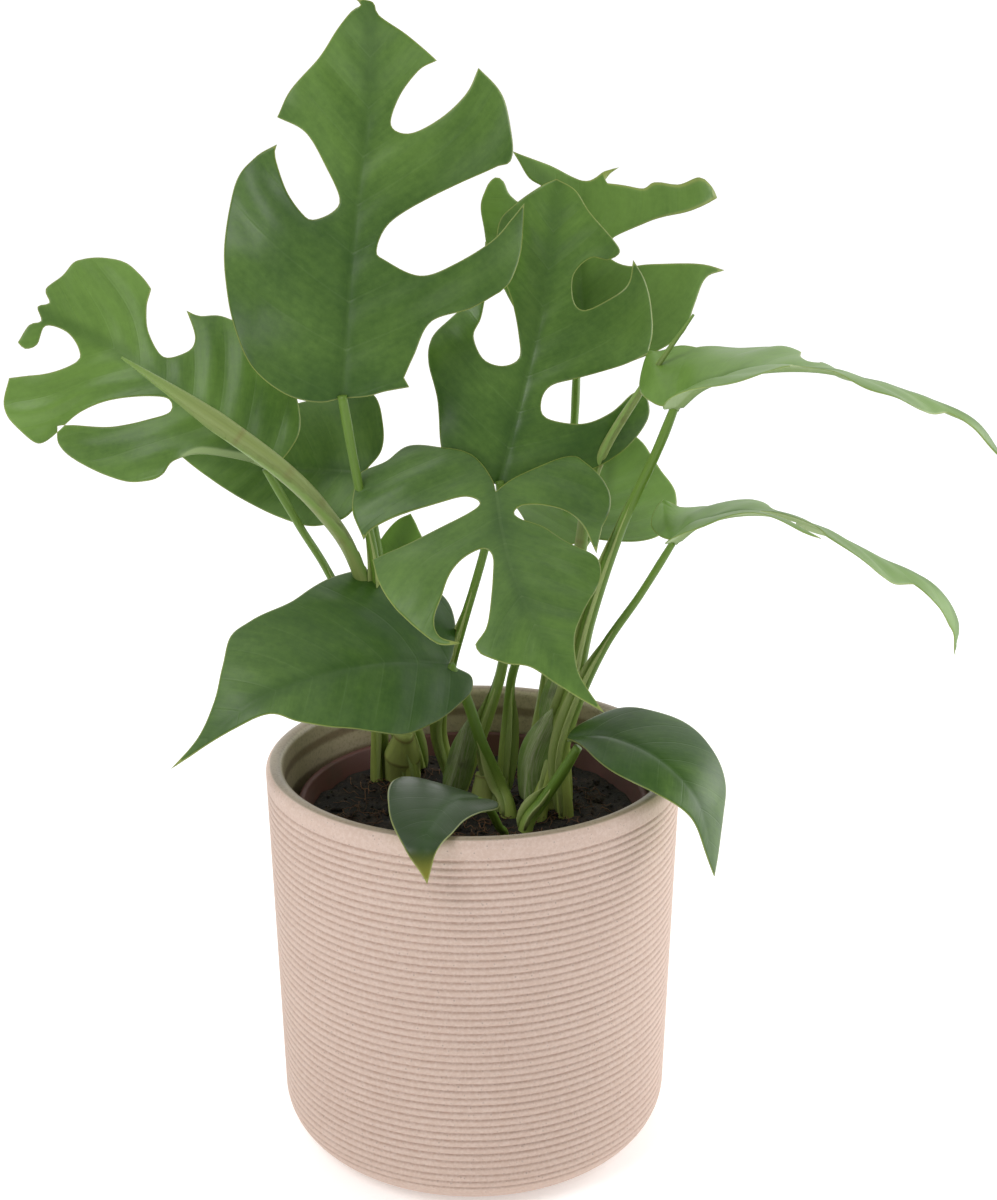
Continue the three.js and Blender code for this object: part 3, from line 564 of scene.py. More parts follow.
def join(points, faces, made, cells):
    """Adds one mesh's points and cells to another's."""
    start = len(points)
    points += made
    faces += [tuple(start + index for index in cell) for cell in cells]


def tube(line, count, sides, radius_at, first=(0, -1, 0)):
    """Rings of a tube; radius_at(share, angle) gives each point's distance from the line."""
    points, along, around = [], [], []
    for distance, centre, _, side, other in steady_frames(line, count, first):
        share = distance / line.length
        for k in range(sides):
            angle = 2 * math.pi * k / sides
            reach = radius_at(share, angle)
            points.append(centre + reach * (math.cos(angle) * side + math.sin(angle) * other))
            along.append(share)
            around.append(k / sides)
    faces = []
    for i in range(count):
        for k in range(sides):
            low, high = i * sides, (i + 1) * sides
            nxt = (k + 1) % sides
            faces.append((low + k, low + nxt, high + nxt, high + k))
    faces.append(tuple(reversed(range(sides))))
    faces.append(tuple(range(count * sides, (count + 1) * sides)))
    return points, faces, along, around


def lathe(profile, sides):
    """A turned body from a closed profile of (radius, height), ends on the axis."""
    points, faces, rings = [], [], []
    for radius, height in profile:
        if radius < 1e-6:
            rings.append([len(points)])
            points.append(Vector((0, 0, height)))
            continue
        rings.append(list(range(len(points), len(points) + sides)))
        for k in range(sides):
            angle = 2 * math.pi * k / sides
            points.append(Vector((radius * math.cos(angle), radius * math.sin(angle), height)))
    for low, high in zip(rings, rings[1:]):
        for k in range(sides):
            nxt = (k + 1) % sides
            if len(low) == 1:
                faces.append((low[0], high[nxt], high[k]))
            elif len(high) == 1:
                faces.append((low[k], low[nxt], high[0]))
            else:
                faces.append((low[k], low[nxt], high[nxt], high[k]))
    return points, faces


def arc(centre_r, centre_z, radius, start, end, steps):
    """Points of a profile's rounding."""
    angles = [math.radians(start + (end - start) * i / steps) for i in range(steps + 1)]
    return [(centre_r + radius * math.cos(a), centre_z + radius * math.sin(a)) for a in angles]


# ---- Leaf blades ---------------------------------------------------------------------------


class Blade:
    """The bent middle surface of a leaf and the outline cut from it."""

    def __init__(self, leaf):
        self.leaf = leaf
        self.line = Line(leaf["rib"])

    def surface(self, along, out, above=0.0):
        leaf = self.leaf
        share = max(0.0, min(1.0, along / self.line.length))
        forward = self.line.forward(share * self.line.length)
        point = self.line.at(share * self.line.length)
        point = point + forward * (along - share * self.line.length)
        face = leaf["up"][0].normalized().lerp(leaf["up"][1].normalized(), share)
        normal = (face - forward * face.dot(forward)).normalized()
        side = forward.cross(normal)
        first = 0 if out < 0 else 2
        sign = -1 if out < 0 else 1
        rise, curl = leaf["rise"], leaf["curl"]
        turned = share ** leaf.get("ease", (1, 1))[first // 2]
        tilt = math.radians(rise[first] + (rise[first + 1] - rise[first]) * turned)
        bend = math.radians(curl[first // 2]) / 10
        reach = abs(out)
        heading = tilt - bend * reach
        across = (math.sin(tilt) - math.sin(heading)) / bend
        height, length, start = leaf["ripple"]
        wave = math.sin(2 * math.pi * (along / length + start))
        lift = (math.cos(heading) - math.cos(tilt)) / bend
        lift += height * wave * min(1.0, reach / 30) ** 2
        point = point + side * sign * (across - above * math.sin(heading))
        return point + normal * (lift + above * math.cos(heading))

    def outline(self, step):
        """The smoothed outline as flat points about one step apart."""
        given = [(p[0], p[1], len(p) > 2) for p in self.leaf["outline"]]
        count = len(given)
        smooth = []
        for i in range(count):
            a, b, c, d = (given[(i + k - 1) % count] for k in range(4))
            pieces = max(2, round(math.dist(b[:2], c[:2]) / step))
            for k in range(pieces):
                t = k / pieces
                place = []
                for axis in (0, 1):
                    before = 2 * b[axis] - c[axis] if b[2] else a[axis]
                    after = 2 * c[axis] - b[axis] if c[2] else d[axis]
                    place.append(hermite(before, b[axis], c[axis], after, t))
                smooth.append(place)
        return np.array(smooth)


def inside(points, outline):
    """Which flat points lie inside a closed outline."""
    x, y = points[:, 0][:, None], points[:, 1][:, None]
    x1, y1 = outline[:, 0][None], outline[:, 1][None]
    x2, y2 = np.roll(outline[:, 0], -1)[None], np.roll(outline[:, 1], -1)[None]
    crosses = (y1 > y) != (y2 > y)
    slope = np.where(y2 == y1, 1e-9, y2 - y1)
    return (crosses & (x < (x2 - x1) * (y - y1) / slope + x1)).sum(axis=1) % 2 == 1


def margin_distance(points, outline):
    """How far each flat point lies from a closed outline."""
    start, end = outline, np.roll(outline, -1, axis=0)
    run = end - start
    length = np.maximum((run**2).sum(axis=1), 1e-9)
    offset = points[:, None, :] - start[None]
    share = np.clip((offset * run[None]).sum(axis=2) / length[None], 0, 1)
    near = start[None] + share[..., None] * run[None]
    return np.sqrt(((points[:, None, :] - near) ** 2).sum(axis=2)).min(axis=1)


def flat_mesh(outline, step):
    """Triangles that fill an outline, with rows of points beside the midrib."""
    low, high = outline.min(axis=0), outline.max(axis=0)
    rows = []
    for j, across in enumerate(np.arange(low[1], high[1], step * 0.87)):
        for along in np.arange(low[0] + (j % 2) * step / 2, high[0], step):
            if abs(across) > 2.6:
                rows.append((along, across))
    for across in (-1.9, -0.9, 0.0, 0.9, 1.9):
        rows += [(along, across) for along in np.arange(low[0], high[0], 1.6)]
    rows = np.array(rows)
    rows = rows[inside(rows, outline)]
    rows = rows[margin_distance(rows, outline) > 1.7]
    run = np.roll(outline, -1, axis=0) - np.roll(outline, 1, axis=0)
    across = np.stack([run[:, 1], -run[:, 0]], axis=1)
    across /= np.maximum(np.linalg.norm(across, axis=1, keepdims=True), 1e-6)
    inset = np.concatenate([outline + 0.8 * across, outline - 0.8 * across])
    inset = inset[inside(inset, outline)]
    inset = inset[margin_distance(inset, outline) > 0.6]
    rows = np.concatenate([rows, inset])
    points = [Vector(p) for p in np.concatenate([outline, rows])]
    ring = list(range(len(outline)))
    edges = list(zip(ring, ring[1:] + ring[:1]))
    made = delaunay_2d_cdt(points, edges, [ring], 1, 1e-5)
    flat = np.array([tuple(p) for p in made[0]])
    triangles = np.array([tuple(face) for face in made[2]])
    kept = inside(flat[triangles].mean(axis=1), outline)
    return flat, [tuple(int(k) for k in face) for face in triangles[kept]]


def vein_phase(along, out, length, spacing):
    """Whole numbers lie on the side veins, which lean forward more towards the tip."""
    lean = 0.35 + 0.75 * max(0.0, min(1.0, along / length))
    return (along - abs(out) * lean) / spacing


def leaf_piece(name, node, leaf, settings, material, slot, tone=0.5, gloss=0.4, pucker=1.0):
    """A thin closed blade with a sunk midrib, puckered between its side veins.

    A leaf's roll gives the stretch of its left margin, along the midrib, that is turned up.
    """
    blade = Blade(leaf)
    outline = blade.outline(1.3)
    flat, triangles = flat_mesh(outline, settings.mesh_step / MM)
    edge = margin_distance(flat, outline)
    length = blade.line.length
    spacing = max(8.0, length / settings.side_veins)
    thickness = settings.thickness / MM
    height = pucker * settings.pucker / MM
    first, last = leaf.get("roll", (0, 0))
    top, under, veins, rolled = [], [], [], []
    for (along, out), gap in zip(flat, edge):
        reach = abs(out)
        turned_up = out < 0 and first < along < last
        ends = min(1.0, (along - first) / 5, (last - along) / 5) if turned_up else 0.0
        roll = ends * max(0.0, 1 - gap / 4.5)
        rolled.append(roll)
        phase = vein_phase(along, out, length, spacing)
        veins.append(phase)
        share = max(0.0, min(1.0, along / length))
        calm = min(1.0, gap / 6) * min(1.0, reach / 5)
        crease = abs(math.sin(math.pi * phase))
        swell = height * calm * (0.75 * crease**2 + 0.25 * crease - 0.5)
        broad = noise.noise((1.1 * phase, out / 26, 40 * tone + (3 if out < 0 else 0)))
        swell += 1.6 * height * min(1.0, reach / 14) * broad
        rib = math.exp(-((reach / 1.1) ** 2)) * (1.05 - share)
        swell += 3.2 * roll**1.5
        body = thickness / 2 * min(1.0, 0.45 + gap / 2.5)
        top.append(blade.surface(along, out, swell + body - 0.45 * rib))
        under.append(blade.surface(along, out, swell - body - 1.5 * rib))
    count = len(flat)
    faces = []
    walked = set()
    for a, b, c in triangles:
        first, second = flat[b] - flat[a], flat[c] - flat[a]
        if first[0] * second[1] - first[1] * second[0] > 0:
            b, c = c, b
        faces.append((a, b, c))
        walked.update([(a, b), (b, c), (c, a)])
    rim = [(b, a, a + count, b + count) for a, b in sorted(walked) if (b, a) not in walked]
    faces += [(a + count, c + count, b + count) for a, b, c in faces]
    return mesh_piece(
        name, top + under, faces + rim, material, node, slot, len(rim),
        vein=veins + veins, across=np.tile(flat[:, 1], 2), edge=np.tile(edge, 2),
        along=np.tile(flat[:, 0] / length, 2), tone=np.full(2 * count, tone),
        gloss=np.full(2 * count, gloss), under=rolled + [1] * count,
    )


# ---- Sizes and colours a user may change ---------------------------------------------------


def linear(red, green, blue):
    """A colour given as everyday 0 to 255 values, as the shaders need it."""
    shares = [value / 255 for value in (red, green, blue)]
    return tuple(s / 12.92 if s <= 0.04045 else ((s + 0.055) / 1.055) ** 2.4 for s in shares)


def length_setting(name, description, millimetres):
    return FloatProperty(
        name=name, description=description, default=millimetres * MM, min=0,
        subtype="DISTANCE", unit="LENGTH",
    )


def colour_setting(name, description, *rgb):
    return FloatVectorProperty(
        name=name, description=description, size=3, default=linear(*rgb), min=0, max=1,
        subtype="COLOR",
    )


def count_setting(name, description, default, lowest=1):
    return IntProperty(name=name, description=description, default=default, min=lowest)


class StonewareSettings(bpy.types.PropertyGroup):
    """The ribbed pot."""

    lip_band: length_setting("Lip Band", "Plain band above the first groove", 7.3)
    rib_pitch: length_setting("Rib Pitch", "Distance from groove to groove", 2.7)
    rib_depth: length_setting("Rib Depth", "Depth of the grooves", 0.5)
    ribs: count_setting("Ribs", "Grooves from the lip to the foot", 46)
    sides: count_setting("Sides", "Faces round the pot", 192, 24)
    clay: colour_setting("Clay", "Colour of the ribs", 209, 184, 169)
    # Groove: a darker clay colour painted into the grooves as shade; the clay's clouds also use it as
    # real mottling.
    groove: colour_setting("Groove", "Colour in the grooves", 185, 157, 142)
    glaze: colour_setting("Glaze", "Colour of the glazed inside", 132, 115, 95)
    # Glaze highlight: a paler colour painted on the glazed inside as highlight, in bands on the inner
    # wall and lip.
    glaze_highlight: colour_setting("Glaze Band", "Colour where the glaze is thin", 190, 176, 152)


class SoilSettings(bpy.types.PropertyGroup):
    """The nursery pot and its soil."""

    plastic: colour_setting("Plastic", "Colour of the nursery pot", 84, 42, 36)
    lumps: length_setting("Lumps", "Height of the uneven surface", 2.2)
    crumbs: count_setting("Crumbs", "Loose lumps on the soil", 700, 0)
    fibres: count_setting("Fibres", "Coir fibres on the soil", 520, 0)
    dark: colour_setting("Dark Soil", "Colour of damp soil", 22, 18, 16)
    light: colour_setting("Light Soil", "Colour of dry crumbs", 66, 50, 38)
    fibre: colour_setting("Fibre", "Colour of the coir fibres", 112, 78, 52)


class PlantSettings(bpy.types.PropertyGroup):
    """The leaves and their stalks."""

    mesh_step: length_setting("Mesh Step", "Distance between a blade's points", 1.9)
    thickness: length_setting("Thickness", "Thickness of a blade", 0.55)
    pucker: length_setting("Pucker", "Height of the swelling between side veins", 0.7)
    side_veins: count_setting("Side Veins", "Side veins on each half of a blade", 8)
    deep: colour_setting("Deep Green", "Colour of an old leaf", 42, 76, 19)
    fresh: colour_setting("Fresh Green", "Colour of a young leaf", 114, 150, 64)
    vein: colour_setting("Vein", "Colour of the veins", 128, 154, 100)
    margin: colour_setting("Margin", "Colour of a leaf's edge", 158, 166, 82)
    dry_tip: colour_setting("Dry Tip", "Colour of an old leaf's tip", 158, 150, 40)
    underside: colour_setting("Underside", "Colour under a leaf", 146, 168, 110)
    stalk: colour_setting("Stalk", "Colour of a stalk", 102, 134, 46)
    stalk_foot: colour_setting("Stalk Foot", "Colour of a stalk near the soil", 166, 180, 96)
    wing: colour_setting("Sheath Wing", "Colour of the winged sheath", 200, 206, 140)
    scar: colour_setting("Scar", "Colour of the rings on a shoot", 112, 82, 44)
    new_leaf: colour_setting("New Leaf", "Colour of a rolled leaf", 134, 150, 84)
    dried: colour_setting("Dried Sheath", "Colour of a dried sheath", 176, 178, 148)


class StageSettings(bpy.types.PropertyGroup):
    """Floor, lights and camera."""

    floor: colour_setting("Floor", "Colour of the floor", 250, 250, 250)
    sky: FloatProperty(name="Surround", description="Glow behind the plant", default=1.12)
    front: FloatProperty(name="Front", description="Glow in front of the plant", default=0.35)
    key: FloatProperty(name="Key Light", description="Power of the main light", default=7,
                       subtype="POWER", unit="POWER")
    fill: FloatProperty(name="Fill Light", description="Power of the second light", default=6,
                        subtype="POWER", unit="POWER")
    lens: FloatProperty(name="Lens", description="Focal length for a 36 mm frame", default=54,
                        subtype="DISTANCE_CAMERA", unit="CAMERA")


# ---- Finishes ------------------------------------------------------------------------------


def leaf_finish(settings):
    """Smooth green blade with faint veins, a thin yellow margin and a pale underside."""
    shader = Shader("leaf")
    vein, across = shader.attribute("vein"), abs(shader.attribute("across"))
    edge, under = shader.attribute("edge"), shader.attribute("under")
    tone, along = shader.attribute("tone"), shader.attribute("along")
    drift = shader.vector(vein * 0.55, across * 0.03, tone * 30)
    broad = shader.noise(1.0, 3, 0.5, at=drift)
    mottle = shader.noise(420, 3, 0.6)
    fibre = shader.noise(1.0, 2, 0.6, at=shader.vector(vein * 9, across * 0.15, tone * 9))
    green = tone + (broad - 0.5) * 0.9 + along * 0.3 + (mottle - 0.5) * 0.3 + (fibre - 0.5) * 0.22
    body = shader.mix((green - 0.12).between(-0.15, 1.15), settings.deep, settings.fresh)
    side_line = 1 - vein.off_whole().between(0.0, 0.045)
    rib_line = (1 - across.between(0.25, 0.9)) * (1.1 - along) * tone.between(0.1, 0.45)
    lines = side_line * 0.16 * edge.between(0.5, 8) * (1 - across.between(15, 45) * 0.6)
    old = (0 - tone).between(0, 0.5)
    body = shader.mix(old * 0.6, body, (0.021, 0.028, 0.016))
    body = shader.mix(old * along.between(0.84, 1), body, settings.dry_tip)
    # Painted shade: the blade darkens towards deep green along its sunk midrib crease.
    body = shader.mix((1 - across.between(0.4, 5)) * 0.35, body, settings.deep)
    body = shader.mix((lines + rib_line * 0.2).between(0, 1), body, settings.vein)
    margin = (1 - edge.between(0.12, 0.45)) * (0.35 + broad * 0.5)
    body = shader.mix(margin, body, settings.margin)
    below = shader.mix(lines * 2 + rib_line * 0.6, settings.underside, settings.vein)
    body = shader.mix(under.between(0.2, 0.5), body, below)
    height = side_line * -0.5 + mottle * 0.5 + fibre * 0.5
    rough = 0.52 - shader.attribute("gloss") * 0.24 + under * 0.2 + mottle * 0.08
    return shader.finish(
        Base_Color=body, Roughness=rough, Specular_IOR_Level=0.42,
        Normal=shader.bump(height, 0.25, 0.0003),
    )


def stalk_finish(name, settings, body_colour, foot_colour):
    """Streaked green stalk, paler near the soil, with its sheath, ring scars and folds."""
    shader = Shader(name)
    along, around = shader.attribute("along"), shader.attribute("around")
    wing = shader.attribute("wing")
    streaks = shader.noise(1, 3, 0.6, at=shader.vector(around * 26, along * 5, 0.0))
    mottle = shader.noise(220, 3)
    body = shader.mix(along.between(0.1, 0.6), foot_colour, body_colour)
    darker = tuple(0.62 * part for part in body_colour)
    body = shader.mix(streaks.between(0.45, 0.75) * 0.35 + mottle * 0.12, body, darker)
    body = shader.mix(wing * (0.25 + streaks * 0.5).between(0, 1), body, settings.wing)
    body = shader.mix(shader.attribute("scar") * 0.6, body, settings.scar)
    body = shader.mix(shader.attribute("fold") * 0.75, body, settings.fresh)
    height = streaks + mottle * 0.4
    return shader.finish(
        Base_Color=body, Roughness=0.42 + wing * 0.15, Specular_IOR_Level=0.4,
        Normal=shader.bump(height, 0.3, 0.0003),
    )


def dried_finish(settings):
    """Papery silver-green skin with lengthwise fibres."""
    shader = Shader("dried sheath")
    along, across = shader.attribute("along"), shader.attribute("across")
    fibres = shader.noise(1, 4, 0.7, at=shader.vector(across * 2.2, along * 3, 0.0))
    blotch = shader.noise(120, 3)
    body = shader.mix(fibres.between(0.25, 0.7), settings.dried, settings.stalk)
    body = shader.mix(abs(across).between(1, 6) * 0.75, body, settings.stalk)
    body = shader.mix(blotch.between(0.5, 0.75) * 0.6, body, (0.08, 0.09, 0.035))
    return shader.finish(
        Base_Color=body, Roughness=0.5 + blotch * 0.15, Normal=shader.bump(fibres, 0.6, 0.0005),
    )


def stoneware_finish(settings):
    """Matt speckled clay outside, brown glaze inside."""
    shader = Shader("stoneware")
    groove, inside_wall = shader.attribute("groove"), shader.attribute("inside")
    place = shader.parts(shader.place())
    wall = place[2] * 1000
    cloud = shader.noise(22, 3)
    grain = shader.noise(900, 3, 0.7)
    speck = 1 - shader.cells(700).between(0.12, 0.3)
    # Painted shade: the grooves take the darker groove colour, weighted by the groove share.
    clay = shader.mix(groove.between(0.0, 1.0), settings.clay, settings.groove)
    # The clouds reuse the groove colour as real mottling.
    clay = shader.mix(cloud.between(0.3, 0.75) * 0.2, clay, settings.groove)
    clay = shader.mix(grain.between(0.4, 0.62) * 0.22, clay, (0.86, 0.74, 0.68))
    clay = shader.mix(speck * grain.between(0.5, 0.6) * 0.5, clay, (0.18, 0.11, 0.08))
    drift = wall + cloud * 4
    # Painted highlight: pale bands on the glazed inner wall below the lip and on the lip's inner
    # rounding.
    band = drift.between(122, 125) * (1 - drift.between(129, 132))
    band = band + drift.between(132.5, 135) * (1 - wall.between(137.9, 138.6) * 0.6)
    glaze = shader.mix(band.between(0, 1) * 0.8, settings.glaze, settings.glaze_highlight)
    glaze = shader.mix(grain.between(0.45, 0.7) * 0.3, glaze, (0.05, 0.035, 0.022))
    body = shader.mix(inside_wall, clay, glaze)
    rough = (1 - inside_wall) * (0.62 + grain * 0.15) + inside_wall * 0.34
    return shader.finish(
        Base_Color=body, Roughness=rough, Normal=shader.bump(grain + cloud, 0.25, 0.0004),
    )


def plastic_finish(settings):
    """Dark matt plastic with a fine moulded grain and a dusting of soil."""
    shader = Shader("nursery plastic")
    grain = shader.noise(1500, 2)
    dust = shader.noise(90, 5, 0.65)
    body = shader.mix(dust.between(0.5, 0.75) * 0.6, settings.plastic, (0.06, 0.035, 0.022))
    return shader.finish(
        Base_Color=body, Roughness=0.45 + dust * 0.3, Normal=shader.bump(grain, 0.2, 0.0002),
    )


def soil_finish(settings):
    """Damp dark soil with dry brown crumbs."""
    shader = Shader("soil")
    coarse = shader.noise(170, 6, 0.7)
    fine = shader.noise(900, 4, 0.7)
    body = shader.mix((coarse * 0.6 + fine * 0.5).between(0.48, 0.75), settings.dark,
                      settings.light)
    return shader.finish(
        Base_Color=body, Roughness=0.8 + fine * 0.15,
        Normal=shader.bump(fine + coarse, 0.8, 0.0012),
    )


def fibre_finish(settings):
    """Orange-brown coir."""
    shader = Shader("coir")
    tint = shader.noise(70, 3)
    darker = tuple(0.4 * part for part in settings.fibre)
    body = shader.mix(tint.between(0.4, 0.65), settings.fibre, darker)
    return shader.finish(
        Base_Color=body, Roughness=0.7 + tint * 0.2,
        Normal=shader.bump(shader.noise(1500, 2), 0.3, 0.0002),
    )


# ---- Pieces --------------------------------------------------------------------------------


class BuildStoneware(bpy.types.Operator):
    """Turns the ribbed stoneware pot"""

    bl_idname = "monstera.stoneware"
    bl_label = "Stoneware Pot"

    def execute(self, context):
        settings = context.scene.stoneware_settings
        top = POT_HIGH[2] / MM
        foot_round, wall, floor = POT_FOOT_ROUND, POT_WALL, POT_FLOOR
        foot_radius, lip = POT_FOOT_RADIUS, wall / 2
        slope = (RIM_RADIUS - foot_radius) / (top - lip - foot_round)
        pitch, depth = settings.rib_pitch / MM, settings.rib_depth / MM
        first = top - settings.lip_band / MM
        chance = random.Random(5)
        depths = [depth * chance.uniform(0.8, 1.15) for _ in range(settings.ribs)]
        profile, grooves = [(0, 0.8), (42, 0.8), (47, 0.2)], [0, 0, 0]
        height = 0.0
        while height < top - lip:
            if height < foot_round:
                dip = math.sqrt(max(0.0, foot_round**2 - (foot_round - height) ** 2))
                radius = foot_radius - foot_round + dip
            else:
                radius = foot_radius + slope * (height - foot_round)
            place = (first - height) / pitch
            near = round(place)
            groove = 0.0
            if 0 <= near < settings.ribs and (height > 2 or near < settings.ribs - 4):
                off = abs(place - near) * 2
                cut = 0.5 + 0.5 * math.cos(math.pi * min(1.0, off / 0.62))
                # This share also paints the grooves darker as shade in the stoneware finish.
                groove = cut
                radius -= depths[near] * cut
            profile.append((radius, height))
            grooves.append(groove)
            height += pitch / 9 if height > 2 else 0.25
        rounding = arc(RIM_RADIUS - lip, top - lip, lip, 0, 180, 14)
        inner = arc(foot_radius - 2 * wall, floor + wall, wall, 0, -90, 8)
        profile += rounding + inner + [(0, floor)]
        grooves += [0] * (len(rounding) + len(inner) + 1)
        glazed_from = len(profile) - len(inner) - 1 - LIP_GLAZE_POINTS
        insides = [1 if i >= glazed_from else 0 for i in range(len(profile))]
        sides = settings.sides
        points, faces = lathe(profile, sides)
        spread = [1 if radius < 1e-6 else sides for radius, _ in profile]
        mesh_piece(
            "stoneware_pot", points, faces, stoneware_finish(settings), "ceramic_pot",
            "stoneware", groove=np.repeat(grooves, spread), inside=np.repeat(insides, spread),
        )
        return {"FINISHED"}


class BuildNurseryPot(bpy.types.Operator):
    """Turns the thin nursery pot with its rolled lip"""

    bl_idname = "monstera.nursery_pot"
    bl_label = "Nursery Pot"

    def execute(self, context):
        settings = context.scene.soil_settings
        low, top = NURSERY_LOW[2] / MM, NURSERY_HIGH[2] / MM
        draft = NURSERY_TAPER / (top - low)
        band = top - NURSERY_BAND
        lip = NURSERY_RADIUS + NURSERY_LIP

        def at(height):
            return NURSERY_RADIUS - draft * (top - height)

        profile = [(0, low), (24, low), (24, low + 0.5), (at(low) - 1, low), (at(low), low + 1)]
        profile += [(at(band - 1), band - 1), (at(band), band), (at(band) + 1.1, band + 0.2)]
        profile += [(at(band) + 1.5, band + 0.8), (lip, top - 0.7), (lip - 0.3, top - 0.2)]
        profile += [(lip - 0.9, top), (lip - 1.8, top - 0.1), (NURSERY_RADIUS - 1, top - 0.7)]
        profile += [(at(low) - 2, low + 1.6), (at(low) - 3, low + 1.05), (0, low + 1)]
        points, faces = lathe(profile, 144)
        mesh_piece(
            "nursery_pot_shell", points, faces, plastic_finish(settings), "nursery_pot",
            "nursery_plastic",
        )
        return {"FINISHED"}


class BuildSoil(bpy.types.Operator):
    """Fills the nursery pot with uneven soil, loose crumbs and coir fibres"""

    bl_idname = "monstera.soil"
    bl_label = "Soil"

    @staticmethod
    def level(x, y, lumps):
        """How high the soil's surface stands over its nominal level."""
        coarse = noise.noise((x / 16, y / 16, 3.1))
        fine = noise.noise((x / 5, y / 5, 9.7))
        grit = noise.noise((x / 2, y / 2, 1.7))
        return lumps * (0.6 * coarse + 0.5 * fine + 0.25 * grit) - 0.3 * lumps

    def execute(self, context):
        settings = context.scene.soil_settings
        finish = soil_finish(settings)
        lumps = settings.lumps / MM
        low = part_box("soil")[0][2] / MM
        rings, sides = 46, 150
        points, faces = [Vector((0, 0, SOIL_TOP + self.level(0, 0, lumps)))], []
        for i in range(1, rings + 1):
            radius = SOIL_RADIUS * i / rings
            for k in range(sides):
                angle = 2 * math.pi * (k + i / 2) / sides
                x, y = radius * math.cos(angle), radius * math.sin(angle)
                points.append(Vector((x, y, SOIL_TOP + self.level(x, y, lumps))))
        narrow = (SOIL_RADIUS - SOIL_TAPER) / SOIL_RADIUS
        for k in range(sides):
            rim = points[1 + (rings - 1) * sides + k]
            points.append(Vector((rim.x * narrow, rim.y * narrow, low)))
        points.append(Vector((0, 0, low)))

        def ring(i, k):
            return 1 + i * sides + k % sides

        for k in range(sides):
            faces.append((0, ring(0, k), ring(0, k + 1)))
            faces.append((len(points) - 1, ring(rings, k + 1), ring(rings, k)))
            for i in range(rings):
                corners = (ring(i, k), ring(i + 1, k), ring(i + 1, k + 1), ring(i, k + 1))
                faces.append(corners)
        mesh_piece("potting_soil", points, faces, finish, "soil", "soil")
        self.crumbs(settings, finish, lumps)
        self.fibres(settings, fibre_finish(settings), lumps)
        return {"FINISHED"}

    @staticmethod
    def scatter(chance, margin):
        """A chance place on the soil, at least that far from its edge."""
        reach = (SOIL_RADIUS - margin) * math.sqrt(chance.random())
        angle = chance.uniform(0, 2 * math.pi)
        return reach * math.cos(angle), reach * math.sin(angle)

    def crumbs(self, settings, finish, lumps):
        """Loose lumps lying on the soil."""
        chance = random.Random(11)
        ball = bmesh.new()
        bmesh.ops.create_icosphere(ball, subdivisions=1, radius=1)
        shape = [vertex.co.copy() for vertex in ball.verts]
        cells = [tuple(vertex.index for vertex in face.verts) for face in ball.faces]
        ball.free()
        points, faces = [], []
        for _ in range(settings.crumbs):
            x, y = self.scatter(chance, 3)
            small = chance.random() < 0.9
            size = chance.uniform(0.4, 0.9) if small else chance.uniform(0.9, 1.8)
            turn = Matrix.Rotation(chance.uniform(0, 6.28), 3, Vector((1, 0.3, 0.7)))
            squash = Vector((1, chance.uniform(0.55, 1), chance.uniform(0.45, 0.9)))
            centre = Vector((x, y, SOIL_TOP + self.level(x, y, lumps) + 0.2 * size))
            made = []
            for corner in shape:
                swell = 1 + 0.5 * noise.noise(corner * 1.3 + centre)
                made.append(centre + turn @ (corner * squash * size * swell))
            join(points, faces, made, cells)
        mesh_piece("soil_crumbs", points, faces, finish, slot="soil")

    def fibres(self, settings, finish, lumps):
        """Thin bent coir fibres, lying and poking out."""
        chance = random.Random(23)
        points, faces = [], []
        for _ in range(settings.fibres):
            x, y = self.scatter(chance, 9)
            heading = chance.uniform(0, 2 * math.pi)
            run = chance.uniform(3, 9)
            path = []
            for k in range(4):
                reach = math.hypot(x, y)
                limit = SOIL_RADIUS - 2
                if reach > limit:
                    x, y = x * limit / reach, y * limit / reach
                lift = 0.35 + (chance.uniform(0, 1.6) if k % 2 else 0.0)
                path.append((x, y, SOIL_TOP + self.level(x, y, lumps) + lift))
                heading += chance.uniform(-0.8, 0.8)
                x, y = x + run / 3 * math.cos(heading), y + run / 3 * math.sin(heading)
            thick = chance.uniform(0.09, 0.2)

            def reach_at(share, angle):
                return thick

            made, cells, _, _ = tube(Line(path), 7, 4, reach_at, (0, 0, 1))
            join(points, faces, made, cells)
        mesh_piece("coir_fibres", points, faces, finish, slot="soil")


def stem_path(entry):
    """The line of a stalk, from its root to its top."""
    foot = SHOOTS[entry["shoot"]]["foot"]
    x, y = foot[0] + entry["foot"][0], foot[1] + entry["foot"][1]
    via = (spot(*point) for point in entry["via"])
    return Line([spot(x, y, -ROOT_DEPTH), spot(x, y, 0), *via])


class BuildShoots(bpy.types.Operator):
    """Grows the short shoots that carry the stalks, with their ring scars"""

    bl_idname = "monstera.shoots"
    bl_label = "Shoots"

    def execute(self, context):
        plant = context.scene.plant_settings
        finish = stalk_finish("shoot", plant, plant.stalk_foot, plant.stalk_foot)
        for name, shoot in SHOOTS.items():
            x, y = shoot["foot"]
            lean_x, lean_y = shoot["lean"]
            top = spot(x + lean_x, y + lean_y, shoot["height"])
            line = Line([spot(x, y, -ROOT_DEPTH), spot(x, y, 0), top])
            radii = shoot["radii"]

            def scar_at(share):
                return max(0.0, math.cos(share * 26)) ** 24

            def reach(share, angle):
                lobes = 1 + 0.06 * math.cos(3 * angle + 5 * share)
                return share_of(radii, share) * lobes + 0.35 * scar_at(share)

            points, faces, along, around = tube(line, 60, 24, reach)
            mesh_piece(
                f"shoot_stem_{name}", points, faces, finish, f"shoot_{name}", "stalk",
                along=along, around=around, wing=np.full(len(points), 0.25),
                scar=[scar_at(share) for share in along],
            )
        return {"FINISHED"}


